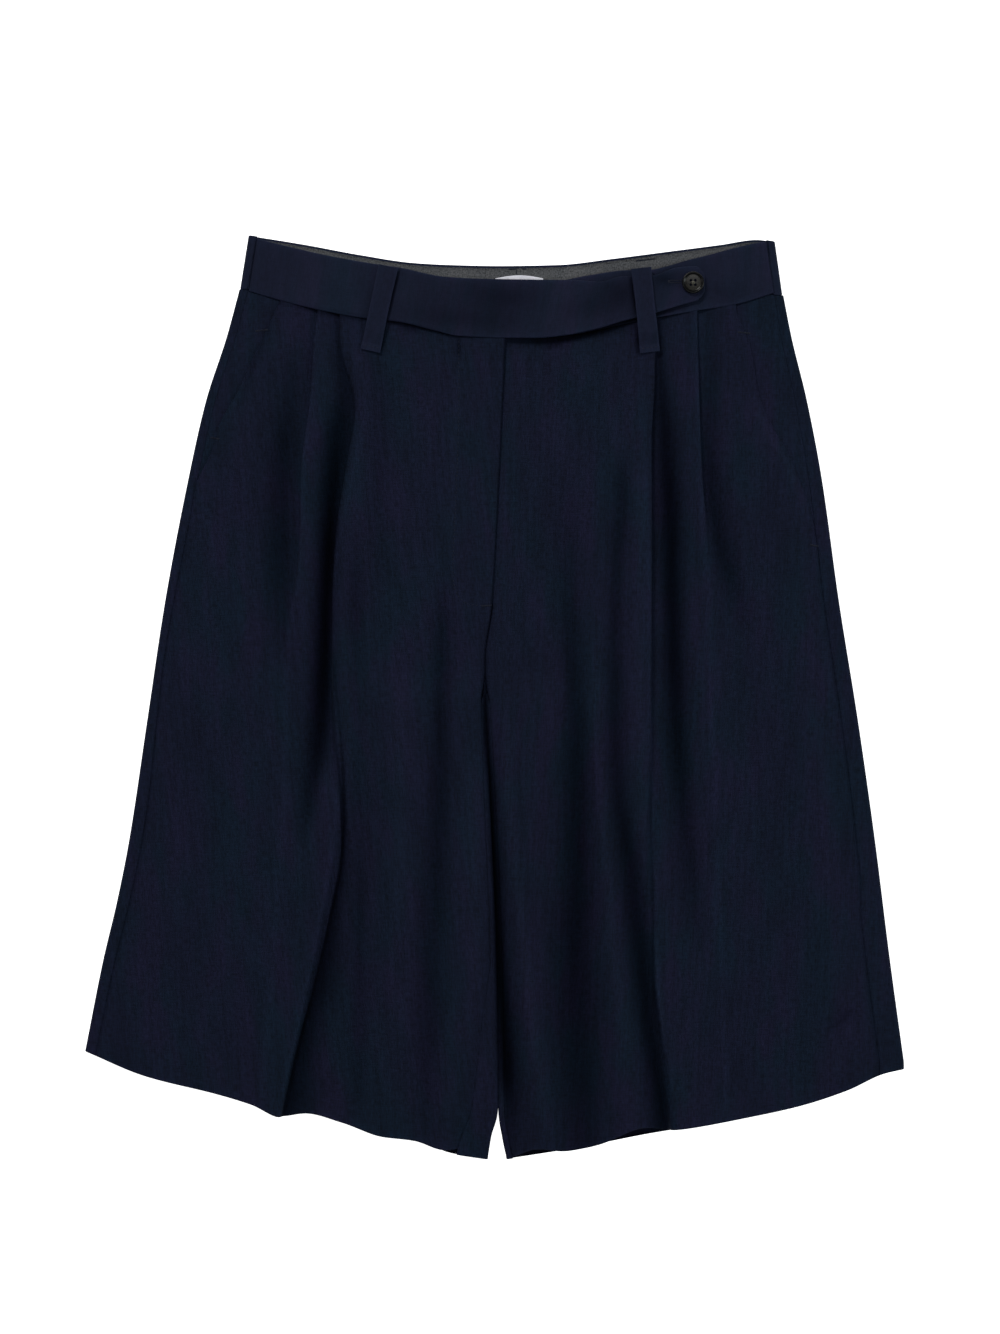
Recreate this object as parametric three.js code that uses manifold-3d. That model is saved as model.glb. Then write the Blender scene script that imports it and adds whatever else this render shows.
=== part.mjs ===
// Pleated wide-leg bermuda shorts, laid flat with the front up. Millimetres, +Z up.
// +Y points to the waist and +X to the wearer's left. The origin lies on the surface, mid-garment.
// Every cloth piece is a wall through cross-sections that are worked out from the tables below.
import * as THREE from "three";
import Module from "manifold-3d";

const wasm = await Module();
wasm.setup();

// Driving dimensions
const CLOTH = 1.2; // wall of the suiting panels
const BAND_CLOTH = 2.0; // two layers with interfacing
const TRIM_CLOTH = 1.0; // facing, label and belt loops
const SEAM_GAP = 0.3;
const HALF_GAP = SEAM_GAP / 2;
const BAND_HEIGHT = 35.5;
const SIDE_FOLD_RADIUS = 1.6; // middle of the wall, where the back turns up at the outer edge
const LEG_FOLD_RADIUS = 1.5; // the same at the inner leg
const BAND_FOLD_RADIUS = 1.8;
const BAND_WRAP = 6; // how far the back band comes round onto the front
const CROTCH_Y = 5;
const CROTCH_BLEND = 12; // half the height over which the seat seam turns into two inseams
const CROTCH_EASE = 1.5; // room for the back as it turns up there
const PLEAT_BEND = 2.7; // cloth in one turn of a pleat
const LOOP_WIDTH = 13.3;
const LOOP_LIFT = 1.3; // how far the belt loops underneath lift the back band and the cloth below it
const LOOP_BULGE = 1.6; // slack of a front loop over the band
const BACK_LOOPS = { right: -69.6, centre: 14.9, left: 99 };
const FLY_END_Y = 60;
const FLY_UNDERLAP = 5; // how far the left front runs under the right
const ZIP_WIDTH = 21;
const POCKET_FACING_WIDTH = 20; // hidden part under the front
const BUTTON = { x: 130, y: 271.8, radius: 7.2, thickness: 1.9, rim: 1.3, rimHeight: 0.7 };
const BUTTON_HOLES = { count: 4, radius: 0.85, ring: 1.9 };

// Mesh steps
const BEND_STEPS = 4;
const RUN_STEPS = 1;

// Tables, top to bottom or left to right

const FRONT_WAIST = [
  { x: -167.3, y: 269 },
  { x: -140.9, y: 261 },
  { x: -115.2, y: 254.4 },
  { x: -86.8, y: 249.2 },
  { x: -62.4, y: 246.5 },
  { x: -40.6, y: 241.2 },
  { x: -23.4, y: 237.3 },
  { x: 6.3, y: 236 },
  { x: 25.4, y: 236 },
  { x: 51.8, y: 238.6 },
  { x: 69.6, y: 241.9 },
  { x: 105.9, y: 249.2 },
  { x: 132.3, y: 253.8 },
  { x: 158.7, y: 258.4 },
  { x: 185.1, y: 266.3 },
];

const BACK_TOP = [
  { x: -161.4, y: 304 },
  { x: -124.4, y: 298 },
  { x: -88.8, y: 291.4 },
  { x: -53.1, y: 286.1 },
  { x: -29.4, y: 284.8 },
  { x: 3.6, y: 284.1 },
  { x: 41.9, y: 284.8 },
  { x: 77.6, y: 288.8 },
  { x: 113.2, y: 293.4 },
  { x: 148.8, y: 298 },
  { x: 172.6, y: 301.3 },
  { x: 183.8, y: 300 },
];

// Front bands: upper edge, then the height of the wall's middle at its lower and upper edge.
const BAND_RIGHT = [
  { x: -161.4, top: 303.3, zLow: 5.9, zTop: 5.9 },
  { x: -141.6, top: 298, zLow: 6.6, zTop: 6 },
  { x: -115, top: 291.6, zLow: 9, zTop: 6.4 },
  { x: -100, top: 288.6, zLow: 9.4, zTop: 6.8 },
  { x: -82, top: 285.4, zLow: 8.4, zTop: 7 },
  { x: -62.4, top: 282.5, zLow: 8.4, zTop: 7.2 },
  { x: -32.7, top: 276.2, zLow: 9.2, zTop: 9.4 },
  { x: -9.6, top: 274.9, zLow: 9.6, zTop: 9.6 },
  { x: 30, top: 274.2, zLow: 9.6, zTop: 9.6 },
  { x: 53, top: 273.9, zLow: 9.6, zTop: 9.6 },
  { x: 69.6, top: 272.9, zLow: 10, zTop: 9.8 },
  { x: 82.8, top: 276.2, zLow: 10.8, zTop: 10.4 },
  { x: 104, top: 276.9, zLow: 11.6, zTop: 11.6 },
  { x: 119, top: 281.8, zLow: 11.6, zTop: 11.6 },
  { x: 130.4, top: 282.8, zLow: 11.6, zTop: 11.6 },
  { x: 138.3, top: 281.2, zLow: 11.6, zTop: 11.6 },
];
const TAB_LOWER = [
  { x: 51.8, y: 238.6 },
  { x: 69.6, y: 242.6 },
  { x: 82.8, y: 246.6 },
  { x: 104, y: 251.8 },
  { x: 119, y: 256.4 },
  { x: 138.3, y: 261.8 },
];
const TAB_START_X = 51.8;
const TAB_END_X = 138;
const TAB_ROUNDING = 5;
const BAND_LEFT = [
  { x: -26, top: 272.6, zLow: 7.2, zTop: 7.2 },
  { x: 30, top: 272, zLow: 7.2, zTop: 7.2 },
  { x: 60, top: 277, zLow: 7.2, zTop: 7.2 },
  { x: 88, top: 280.8, zLow: 8, zTop: 7.2 },
  { x: 102, top: 281, zLow: 8.9, zTop: 7.4 },
  { x: 113.9, top: 283.5, zLow: 8.8, zTop: 7.2 },
  { x: 127, top: 287.4, zLow: 8.9, zTop: 6.8 },
  { x: 140.3, top: 290.7, zLow: 8.2, zTop: 6.4 },
  { x: 157.4, top: 295.4, zLow: 6.6, zTop: 6 },
  { x: 175.2, top: 299.3, zLow: 5.9, zTop: 5.9 },
  { x: 183.2, top: 300, zLow: 5.9, zTop: 5.9 },
];

// Centre front down to the crotch: the right front's lapping edge and the seam below it.
const CENTRE_FRONT = [
  { y: 236, x: 7 },
  { y: 186, x: 5 },
  { y: 128, x: 2.3 },
  { y: 60, x: -1.7 },
  { y: 25, x: -6.3 },
  { y: CROTCH_Y, x: -6.3 },
];

// Right leg (wearer's), which lies to -X
const RIGHT_LEG = {
  side: -1,
  outline: [
    { y: 270, x: -167.4 },
    { y: 236, x: -176.6 },
    { y: 196, x: -189.8 },
    { y: 144, x: -201.6 },
    { y: 64, x: -216.8 },
    { y: -15, x: -228.7 },
    { y: -94, x: -240.6 },
    { y: -134, x: -248.5 },
    { y: -173, x: -257.7 },
    { y: -233, x: -269.6 },
  ],
  seamInset: [
    { y: 270, inset: 6 },
    { y: 104, inset: 6.5 },
    { y: 25, inset: 5.5 },
    { y: -80, inset: 8.8 },
    { y: -233, inset: 7.5 },
  ],
  pocket: [
    { y: 261, x: -141 },
    { y: 242.5, x: -149.5 },
    { y: 222.8, x: -159 },
    { y: 201.6, x: -168.6 },
    { y: 178.5, x: -181.2 },
    { y: 170, x: -183 },
    { y: 143, x: -195.2 },
  ],
  pocketRows: 6,
  innerLeg: [
    { y: CROTCH_Y, x: -6.7 },
    { y: -63, x: -3.7 },
    { y: -165, x: 0.6 },
    { y: -255, x: 1.9 },
    { y: -272, x: 1 },
    { y: -290, x: -2.3 },
    { y: -303, x: -4.4 },
  ],
  inseamInset: [
    { y: CROTCH_Y, inset: 1 },
    { y: -40, inset: 2 },
    { y: -170, inset: 2.6 },
    { y: -217, inset: 9 },
    { y: -298, inset: 19 },
  ],
  hem: [
    { x: -269.6, y: -232.7 },
    { x: -231, y: -248.5 },
    { x: -184, y: -260.4 },
    { x: -160, y: -267.6 },
    { x: -140, y: -275.6 },
    { x: -124, y: -273.6 },
    { x: -100.7, y: -278.9 },
    { x: -76.9, y: -286.8 },
    { x: -53, y: -290.7 },
    { x: -29.4, y: -300 },
    { x: -5.6, y: -303.9 },
  ],
  hemReveal: [],
  innerHeight: [
    { y: 238, z: 9.4 },
    { y: 205, z: 6.2 },
    { y: 150, z: 5.5 },
    { y: FLY_END_Y, z: 5.5 },
    { y: 30, z: 4.3 },
    { y: CROTCH_Y, z: 3.7 },
    { y: -303, z: 3.6 },
  ],
  swell: [
    { y: 262, outer: 0, inner: -1.6 },
    { y: 190, outer: 1.4, inner: 0 },
    { y: 100, outer: 2.6, inner: 0.6 },
    { y: 0, outer: 1.6, inner: 1.2 },
    { y: -150, outer: 1.6, inner: 2 },
    { y: -300, outer: 1.2, inner: 2.2 },
  ],
  outerPleat: [
    { y: 256, x: -115.5, turn: 180, run: 10, start: 3.8, lean: -11.5 },
    { y: 235, x: -118, turn: 178, run: 9, start: 3.8, lean: -9 },
    { y: 198, x: -120.5, turn: 160, run: 5.5, start: 3, lean: -4 },
    { y: 147, x: -126.4, turn: 125, run: 3.4, start: 3.4, lean: 0 },
    { y: 108, x: -127, turn: 105, run: 2.8, start: 3.6, lean: 0 },
    { y: 79, x: -129, turn: 80, run: 2.4, start: 4, lean: 0 },
    { y: 52, x: -133.7, turn: 42, run: 2.4, start: 4.8, lean: 0 },
    { y: 10, x: -138, turn: 8, run: 2.4, start: 5.8, lean: 0 },
    { y: -80, x: -142, turn: 2, run: 2.4, start: 6.6, lean: 2 },
    { y: -300, x: -158, turn: 2, run: 2.4, start: 6.4, lean: 4 },
  ],
  innerPleat: [
    { y: 252, x: -101.3, turn: 180, run: 10, start: 4.4, lean: -11.5 },
    { y: 236, x: -101.3, turn: 180, run: 9.5, start: 4.1, lean: -9 },
    { y: 190, x: -91, turn: 160, run: 6.5, start: 2.8, lean: -4 },
    { y: 157, x: -96, turn: 145, run: 5.4, start: 2.6, lean: 0 },
    { y: 103, x: -104, turn: 125, run: 4.4, start: 2.6, lean: 0 },
    { y: 64, x: -106.6, turn: 110, run: 4, start: 2.6, lean: 0 },
    { y: 0, x: -106.6, turn: 75, run: 4, start: 2.8, lean: 0 },
    { y: -37, x: -102, turn: 42, run: 4, start: 4.6, lean: 4 },
    { y: -60, x: -100.4, turn: 8, run: 4, start: 7.6, lean: 4 },
    { y: -80, x: -99.3, turn: -24, run: 4, start: 8.9, lean: 4 },
    { y: -99, x: -100.7, turn: -45, run: 4, start: 9.4, lean: 4 },
    { y: -152, x: -111.2, turn: -62, run: 4, start: 9.6, lean: 4 },
    { y: -223, x: -129, turn: -75, run: 3.8, start: 9.6, lean: 4 },
    { y: -303, x: -148, turn: -78, run: 3.6, start: 9.2, lean: 4 },
  ],
  softFolds: [
    { name: "inner trough beside the crease", width: 9, line: [
      { y: 120, x: -84, rise: 0 },
      { y: 50, x: -90, rise: -1.8 },
      { y: -60, x: -86, rise: -0.8 },
      { y: -254, x: -90, rise: -0.5 },
    ] },
    { name: "light ridge mid panel", width: 9, line: [
      { y: 60, x: -66, rise: 0 },
      { y: 0, x: -62.7, rise: 1.6 },
      { y: -101, x: -64, rise: 2 },
      { y: -300, x: -74, rise: 1.6 },
    ] },
    { name: "long dark trough", width: 9.5, line: [
      { y: 70, x: -36, rise: 0 },
      { y: 20, x: -36, rise: -1.8 },
      { y: -75, x: -36, rise: -2.4 },
      { y: -211, x: -43, rise: -2.4 },
      { y: -300, x: -48, rise: -1.4 },
    ] },
  ],
};

// Left leg (wearer's), which lies to +X
const LEFT_LEG = {
  side: 1,
  outline: [
    { y: 268, x: 189.4 },
    { y: 236, x: 195.7 },
    { y: 196, x: 205.6 },
    { y: 144, x: 215.5 },
    { y: 64, x: 226.7 },
    { y: -15, x: 239.3 },
    { y: -94, x: 250.5 },
    { y: -173, x: 260.4 },
    { y: -240, x: 269.6 },
  ],
  seamInset: [
    { y: 268, inset: 6 },
    { y: 236, inset: 7.2 },
    { y: 100, inset: 9.7 },
    { y: -114, inset: 13 },
    { y: -152, inset: 16 },
    { y: -240, inset: 16.5 },
  ],
  pocket: [
    { y: 254, x: 158.7 },
    { y: 228.7, x: 168.6 },
    { y: 201.6, x: 173.5 },
    { y: 176.6, x: 183.8 },
    { y: 159.4, x: 193.7 },
    { y: 135.6, x: 203.6 },
    { y: 118, x: 209 },
    { y: 101, x: 211.9 },
  ],
  pocketRows: 8,
  innerLeg: [
    { y: CROTCH_Y, x: -5.9 },
    { y: -63, x: -2.9 },
    { y: -165, x: 1.4 },
    { y: -255, x: 2.9 },
    { y: -278, x: 3.5 },
    { y: -290, x: 5 },
    { y: -303, x: 7.8 },
  ],
  inseamInset: [
    { y: CROTCH_Y, inset: 1 },
    { y: -40, inset: 2 },
    { y: -303, inset: 2.4 },
  ],
  hem: [
    { x: 8.3, y: -303.9 },
    { x: 53.8, y: -296.7 },
    { x: 101.3, y: -287.4 },
    { x: 148.8, y: -279.5 },
    { x: 196.4, y: -269.6 },
    { x: 232, y: -258.4 },
    { x: 255.7, y: -247.8 },
    { x: 269.6, y: -244.5 },
  ],
  hemReveal: [
    { x: 91, width: 24, rise: 4.5 },
    { x: 23, width: 10, rise: 2.8 },
  ],
  innerHeight: [
    { y: 238, z: 5.6 },
    { y: 200, z: 3.9 },
    { y: FLY_END_Y, z: 3.9 },
    { y: 30, z: 3.9 },
    { y: CROTCH_Y, z: 3.7 },
    { y: -303, z: 3.6 },
  ],
  swell: [
    { y: 262, outer: 0, inner: -1 },
    { y: 190, outer: 1.4, inner: 0 },
    { y: 100, outer: 2.2, inner: 0.8 },
    { y: 0, outer: 1.8, inner: 1.6 },
    { y: -150, outer: 1.8, inner: 2 },
    { y: -300, outer: 1.2, inner: 2.2 },
  ],
  outerPleat: [
    { y: 254, x: 132.7, turn: 180, run: 10, start: 3.8, lean: -11.5 },
    { y: 235, x: 133, turn: 176, run: 8, start: 3.8, lean: -9 },
    { y: 206, x: 133.7, turn: 158, run: 5, start: 3, lean: -4 },
    { y: 147, x: 135.6, turn: 118, run: 3, start: 3.6, lean: 0 },
    { y: 118, x: 137.6, turn: 85, run: 2.6, start: 4.2, lean: 0 },
    { y: 74, x: 140, turn: 30, run: 2.4, start: 5.2, lean: 0 },
    { y: 20, x: 143, turn: 6, run: 2.4, start: 6, lean: 1 },
    { y: -300, x: 156, turn: 2, run: 2.4, start: 6.4, lean: 4 },
  ],
  innerPleat: [
    { y: 249, x: 105.9, turn: 180, run: 10, start: 4.4, lean: -11.5 },
    { y: 235, x: 105.4, turn: 178, run: 9, start: 4.1, lean: -9 },
    { y: 206, x: 104.6, turn: 160, run: 6.5, start: 3, lean: -4 },
    { y: 165, x: 102.6, turn: 140, run: 5, start: 2.6, lean: 0 },
    { y: 104, x: 102.6, turn: 122, run: 4.4, start: 2.6, lean: 0 },
    { y: 53, x: 102.4, turn: 110, run: 4, start: 2.6, lean: 0 },
    { y: -20, x: 101.8, turn: 88, run: 4, start: 2.8, lean: 0 },
    { y: -70, x: 101.9, turn: 64, run: 4, start: 3.6, lean: 2 },
    { y: -102, x: 103, turn: 34, run: 4, start: 6, lean: 4 },
    { y: -132, x: 104, turn: 2, run: 4, start: 8.3, lean: 4 },
    { y: -165, x: 105.3, turn: -42, run: 4, start: 9.5, lean: 4 },
    { y: -211, x: 108.9, turn: -66, run: 4, start: 9.8, lean: 4 },
    { y: -300, x: 119, turn: -78, run: 3.6, start: 9.4, lean: 4 },
  ],
  softFolds: [
    { name: "trough inside the crease", width: 8, line: [
      { y: 190, x: 84, rise: 0 },
      { y: 128, x: 83.5, rise: -1.6 },
      { y: 64, x: 79, rise: -1.8 },
      { y: -12, x: 78, rise: -2 },
      { y: -75, x: 82, rise: -1.8 },
      { y: -120, x: 89, rise: 0 },
    ] },
    { name: "ridge inside that trough", width: 7, line: [
      { y: 40, x: 66, rise: 0 },
      { y: -12, x: 67, rise: 1.2 },
      { y: -89, x: 71, rise: 1.8 },
      { y: -165, x: 77, rise: 1.8 },
      { y: -300, x: 90, rise: 1 },
    ] },
    { name: "wide long trough", width: 12, line: [
      { y: 60, x: 50, rise: 0 },
      { y: 0, x: 52, rise: -1.8 },
      { y: -87, x: 54, rise: -2.6 },
      { y: -216, x: 54, rise: -2.6 },
      { y: -300, x: 57, rise: -1.6 },
    ] },
    { name: "faint outer ridge", width: 9, line: [
      { y: -40, x: 114, rise: 0 },
      { y: -127, x: 126, rise: 1.2 },
      { y: -190, x: 134, rise: 1.2 },
      { y: -240, x: 152, rise: 0 },
    ] },
  ],
};

// Small mathematics

const mix = (a, b, t) => a + (b - a) * t;
const clamp = (v, low, high) => Math.min(high, Math.max(low, v));
const radians = (degrees) => (degrees * Math.PI) / 180;

function smoothstep(v, low, high) {
  const t = clamp((v - low) / (high - low), 0, 1);
  return t * t * (3 - 2 * t);
}

// A smooth curve that never overshoots, through one column of a table.
function column(rows, name, key = "y") {
  const sorted = [...rows].sort((a, b) => a[key] - b[key]);
  const at = sorted.map((row) => row[key]);
  const value = sorted.map((row) => row[name]);
  const last = at.length - 1;
  const rise = at.slice(1).map((v, i) => (value[i + 1] - value[i]) / (v - at[i]));
  const slope = value.map((_, i) => {
    if (i === 0) return rise[0];
    if (i === last) return rise[last - 1];
    return rise[i - 1] * rise[i] <= 0 ? 0 : 2 / (1 / rise[i - 1] + 1 / rise[i]);
  });
  return (v) => {
    if (v <= at[0]) return value[0];
    if (v >= at[last]) return value[last];
    let i = 0;
    while (v > at[i + 1]) i += 1;
    const width = at[i + 1] - at[i];
    const t = (v - at[i]) / width;
    const s = t * t * (3 - 2 * t);
    const bendIn = t * (1 - t) * (1 - t) * slope[i];
    const bendOut = t * t * (1 - t) * slope[i + 1];
    return mix(value[i], value[i + 1], s) + width * (bendIn - bendOut);
  };
}

const bell = (distance, width) => Math.exp(-((distance / width) ** 2));

const frontWaist = column(FRONT_WAIST, "y", "x");
const backTop = column(BACK_TOP, "y", "x");
const backWaist = (x) => backTop(x) - BAND_HEIGHT;
const centreFront = column(CENTRE_FRONT, "x");

// The seat seam runs from the middle of the back band to the crotch.
function centreBack(y) {
  const t = clamp((y - CROTCH_Y) / (backWaist(BACK_LOOPS.centre) - CROTCH_Y), 0, 1);
  return mix(centreFront(CROTCH_Y), BACK_LOOPS.centre, t);
}

// The band rests on the loops beneath it, and the back panels come down to the surface below it.
const loopLift = (y) => LOOP_LIFT * smoothstep(y, 195, 232);

// A leg's tables as functions. Across a leg, w grows inwards, so that both legs share one section.
function legCurves(table) {
  const inward = -table.side;
  const foldCurves = (rows) => ({
    crest: column(rows.map((row) => ({ ...row, w: inward * row.x })), "w"),
    turn: column(rows, "turn"),
    run: column(rows, "run"),
    start: column(rows, "start"),
    lean: column(rows, "lean"),
  });
  return {
    inward,
    outline: column(table.outline, "x"),
    seamInset: column(table.seamInset, "inset"),
    pocket: column(table.pocket, "x"),
    pocketRows: table.pocketRows,
    pocketEndY: table.pocket[table.pocket.length - 1].y,
    innerLeg: column(table.innerLeg, "x"),
    inseamInset: column(table.inseamInset, "inset"),
    hem: column(table.hem, "y", "x"),
    hemReveal: table.hemReveal,
    innerHeight: column(table.innerHeight, "z"),
    outerSwell: column(table.swell, "outer"),
    innerSwell: column(table.swell, "inner"),
    outerPleat: foldCurves(table.outerPleat),
    innerPleat: foldCurves(table.innerPleat),
    softFolds: table.softFolds.map((fold) => ({
      x: column(fold.line, "x"),
      rise: column(fold.line, "rise"),
      width: fold.width,
    })),
  };
}

const rightLeg = legCurves(RIGHT_LEG);
const leftLeg = legCurves(LEFT_LEG);

// The side seam on top, where the back that has come round the fold meets the front.
const sideSeam = (leg, y) => leg.outline(y) + leg.inward * leg.seamInset(y);

// Height of the wall's middle along the side seam, and how much higher it is over the pocket facing.
const seamHeight = (y) => CLOTH / 2 + 2 * SIDE_FOLD_RADIUS + loopLift(y);
const OVER_FACING = CLOTH + SEAM_GAP + 0.1;

// One pleat of a section: a turn, a straight run and a turn back, as a cloth strip folds.
function pleatPoints(pleat, y) {
  const turn = radians(pleat.turn(y));
  const points = [{ w: 0, z: 0 }];
  let heading = radians(pleat.lean(y));
  const advance = (length, turning) => {
    const from = points[points.length - 1];
    const middle = heading + turning / 2;
    points.push({ w: from.w + length * Math.cos(middle), z: from.z + length * Math.sin(middle) });
    heading += turning;
  };
  for (let i = 0; i < BEND_STEPS; i += 1) advance(PLEAT_BEND / BEND_STEPS, turn / BEND_STEPS);
  for (let i = 0; i < RUN_STEPS; i += 1) advance(pleat.run(y) / RUN_STEPS, 0);
  for (let i = 0; i < BEND_STEPS; i += 1) advance(PLEAT_BEND / BEND_STEPS, -turn / BEND_STEPS);
  const opensOutward = smoothstep(turn, radians(-20), radians(20));
  const firstBend = points[BEND_STEPS / 2];
  const lastBend = points[points.length - 1 - BEND_STEPS / 2];
  const crest = mix(firstBend.w, lastBend.w, opensOutward);
  const shift = pleat.crest(y) - crest;
  return points.map((p) => ({ w: p.w + shift, z: p.z + pleat.start(y) }));
}

// A Hermite stretch between two points with given headings, without its end points.
function stretch(from, fromHeading, to, toHeading, steps, swell) {
  const length = Math.hypot(to.w - from.w, to.z - from.z);
  const points = [];
  for (let i = 1; i < steps; i += 1) {
    const t = i / steps;
    const a = t * (1 - t) * (1 - t) * length;
    const b = t * t * (1 - t) * length;
    const s = t * t * (3 - 2 * t);
    points.push({
      w: mix(from.w, to.w, s) + a * Math.cos(fromHeading) - b * Math.cos(toHeading),
      z: mix(from.z, to.z, s) + a * Math.sin(fromHeading) - b * Math.sin(toHeading)
        + swell * Math.sin(Math.PI * t) ** 2,
    });
  }
  return points;
}

const OUTER_STEPS = 6;
const BETWEEN_STEPS = 4;
const INNER_STEPS = 9;

// Front edges at one height: outer along the pocket then the side seam, inner along the fly, the
// centre seam and, below the crotch, the inseam.
function frontEdges(leg, y) {
  const overPocket = y > leg.pocketEndY;
  const outerX = overPocket ? leg.pocket(y) : sideSeam(leg, y) + leg.inward * SEAM_GAP;
  const outerZ = seamHeight(y) + OVER_FACING * smoothstep(y, leg.pocketEndY - 24, leg.pocketEndY - 8);
  const legShare = 1 - smoothstep(y, CROTCH_Y - CROTCH_BLEND, CROTCH_Y + CROTCH_BLEND);
  const isLeft = leg === leftLeg;
  const lapShare = isLeft ? smoothstep(y, FLY_END_Y, FLY_END_Y + 14) : 0;
  const upper = leg.inward * centreFront(y) + mix(-HALF_GAP, FLY_UNDERLAP, lapShare);
  const lower = leg.inward * leg.innerLeg(y) - CLOTH / 2 - LEG_FOLD_RADIUS - leg.inseamInset(y) - SEAM_GAP;
  const ease = CROTCH_EASE * 4 * legShare * (1 - legShare);
  return {
    outer: { w: leg.inward * outerX, z: outerZ },
    inner: { w: mix(upper, lower, legShare) - ease, z: leg.innerHeight(y) },
    legShare,
  };
}

// The front's cross-section at one height, from its outer edge to its inner edge.
function frontSection(leg, y) {
  const { outer, inner, legShare } = frontEdges(leg, y);
  const first = pleatPoints(leg.outerPleat, y);
  const second = pleatPoints(leg.innerPleat, y);
  const firstLean = radians(leg.outerPleat.lean(y));
  const secondLean = radians(leg.innerPleat.lean(y));
  const end = (points) => points[points.length - 1];
  const raw = [
    outer,
    ...stretch(outer, radians(4), first[0], firstLean, OUTER_STEPS, leg.outerSwell(y)),
    ...first,
    ...stretch(end(first), firstLean, second[0], secondLean, BETWEEN_STEPS, 0),
    ...second,
    ...stretch(end(second), secondLean, inner, radians(-24 * legShare), INNER_STEPS, leg.innerSwell(y)),
    inner,
  ];
  return raw.map((p) => {
    const x = leg.inward * p.w;
    const nearEdge = smoothstep(Math.abs(p.w - inner.w), 0, 14);
    const soft = leg.softFolds.reduce((sum, f) => sum + f.rise(y) * bell(x - f.x(y), f.width), 0);
    return { x, z: p.z + soft * nearEdge };
  });
}

// Highest middle of the front's wall at a place, for what lies on it.
function frontHeight(leg, x, y) {
  const section = frontSection(leg, y);
  let highest = 0;
  for (let i = 1; i < section.length; i += 1) {
    const [a, b] = [section[i - 1], section[i]];
    if ((a.x - x) * (b.x - x) <= 0 && a.x !== b.x) {
      highest = Math.max(highest, mix(a.z, b.z, (x - a.x) / (b.x - a.x)));
    }
  }
  return highest;
}

const WRAP_STEPS = 2;
const FOLD_STEPS = 4;
const FLAT_STEPS = 8;
const ROLL_STEPS = 4;

// The inner end of the back: it curls up by an angle and runs straight on.
function rolledEnd(angle, inset) {
  const lengths = [
    ...Array(ROLL_STEPS).fill((Math.PI * LEG_FOLD_RADIUS) / ROLL_STEPS),
    ...Array(WRAP_STEPS).fill(inset / WRAP_STEPS),
  ];
  const at = { w: 0, z: 0, heading: 0 };
  return lengths.map((length, i) => {
    const turning = i < ROLL_STEPS ? angle / ROLL_STEPS : 0;
    const middle = at.heading + turning / 2;
    at.w += length * Math.cos(middle);
    at.z += length * Math.sin(middle);
    at.heading += turning;
    return { ...at };
  });
}

// The back's cross-section, from the side seam on top, round the outer fold and along the surface
// to the seat seam or, below the crotch, round the inner fold to the inseam.
function backSection(leg, y) {
  const half = CLOTH / 2;
  const rest = half + loopLift(y);
  const foldW = leg.inward * leg.outline(y) + half;
  const seamW = leg.inward * sideSeam(leg, y);
  const centreW = foldW + SIDE_FOLD_RADIUS;
  const points = [];
  for (let i = 0; i < WRAP_STEPS; i += 1) {
    points.push({ w: mix(seamW, centreW, i / WRAP_STEPS), z: seamHeight(y) });
  }
  for (let i = 0; i <= FOLD_STEPS; i += 1) {
    const angle = Math.PI / 2 + (Math.PI * i) / FOLD_STEPS;
    points.push({
      w: centreW + SIDE_FOLD_RADIUS * Math.cos(angle),
      z: rest + SIDE_FOLD_RADIUS * (1 + Math.sin(angle)),
    });
  }
  const legShare = 1 - smoothstep(y, CROTCH_Y - CROTCH_BLEND, CROTCH_Y + CROTCH_BLEND);
  const roll = rolledEnd(Math.PI * legShare, leg.inseamInset(y));
  const reach = Math.max(...roll.map((p) => p.w + half * Math.abs(Math.sin(p.heading))));
  const limit = leg.inward * mix(centreBack(y), leg.innerLeg(y), legShare) - HALF_GAP * (1 - legShare);
  const rollStart = limit - reach;
  for (let i = 1; i <= FLAT_STEPS; i += 1) {
    points.push({ w: mix(centreW, rollStart, i / FLAT_STEPS), z: rest });
  }
  points.push(...roll.map((p) => ({ w: rollStart + p.w, z: rest + p.z })));
  return points.map((p) => ({ x: leg.inward * p.w, z: p.z }));
}

// Solids

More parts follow.
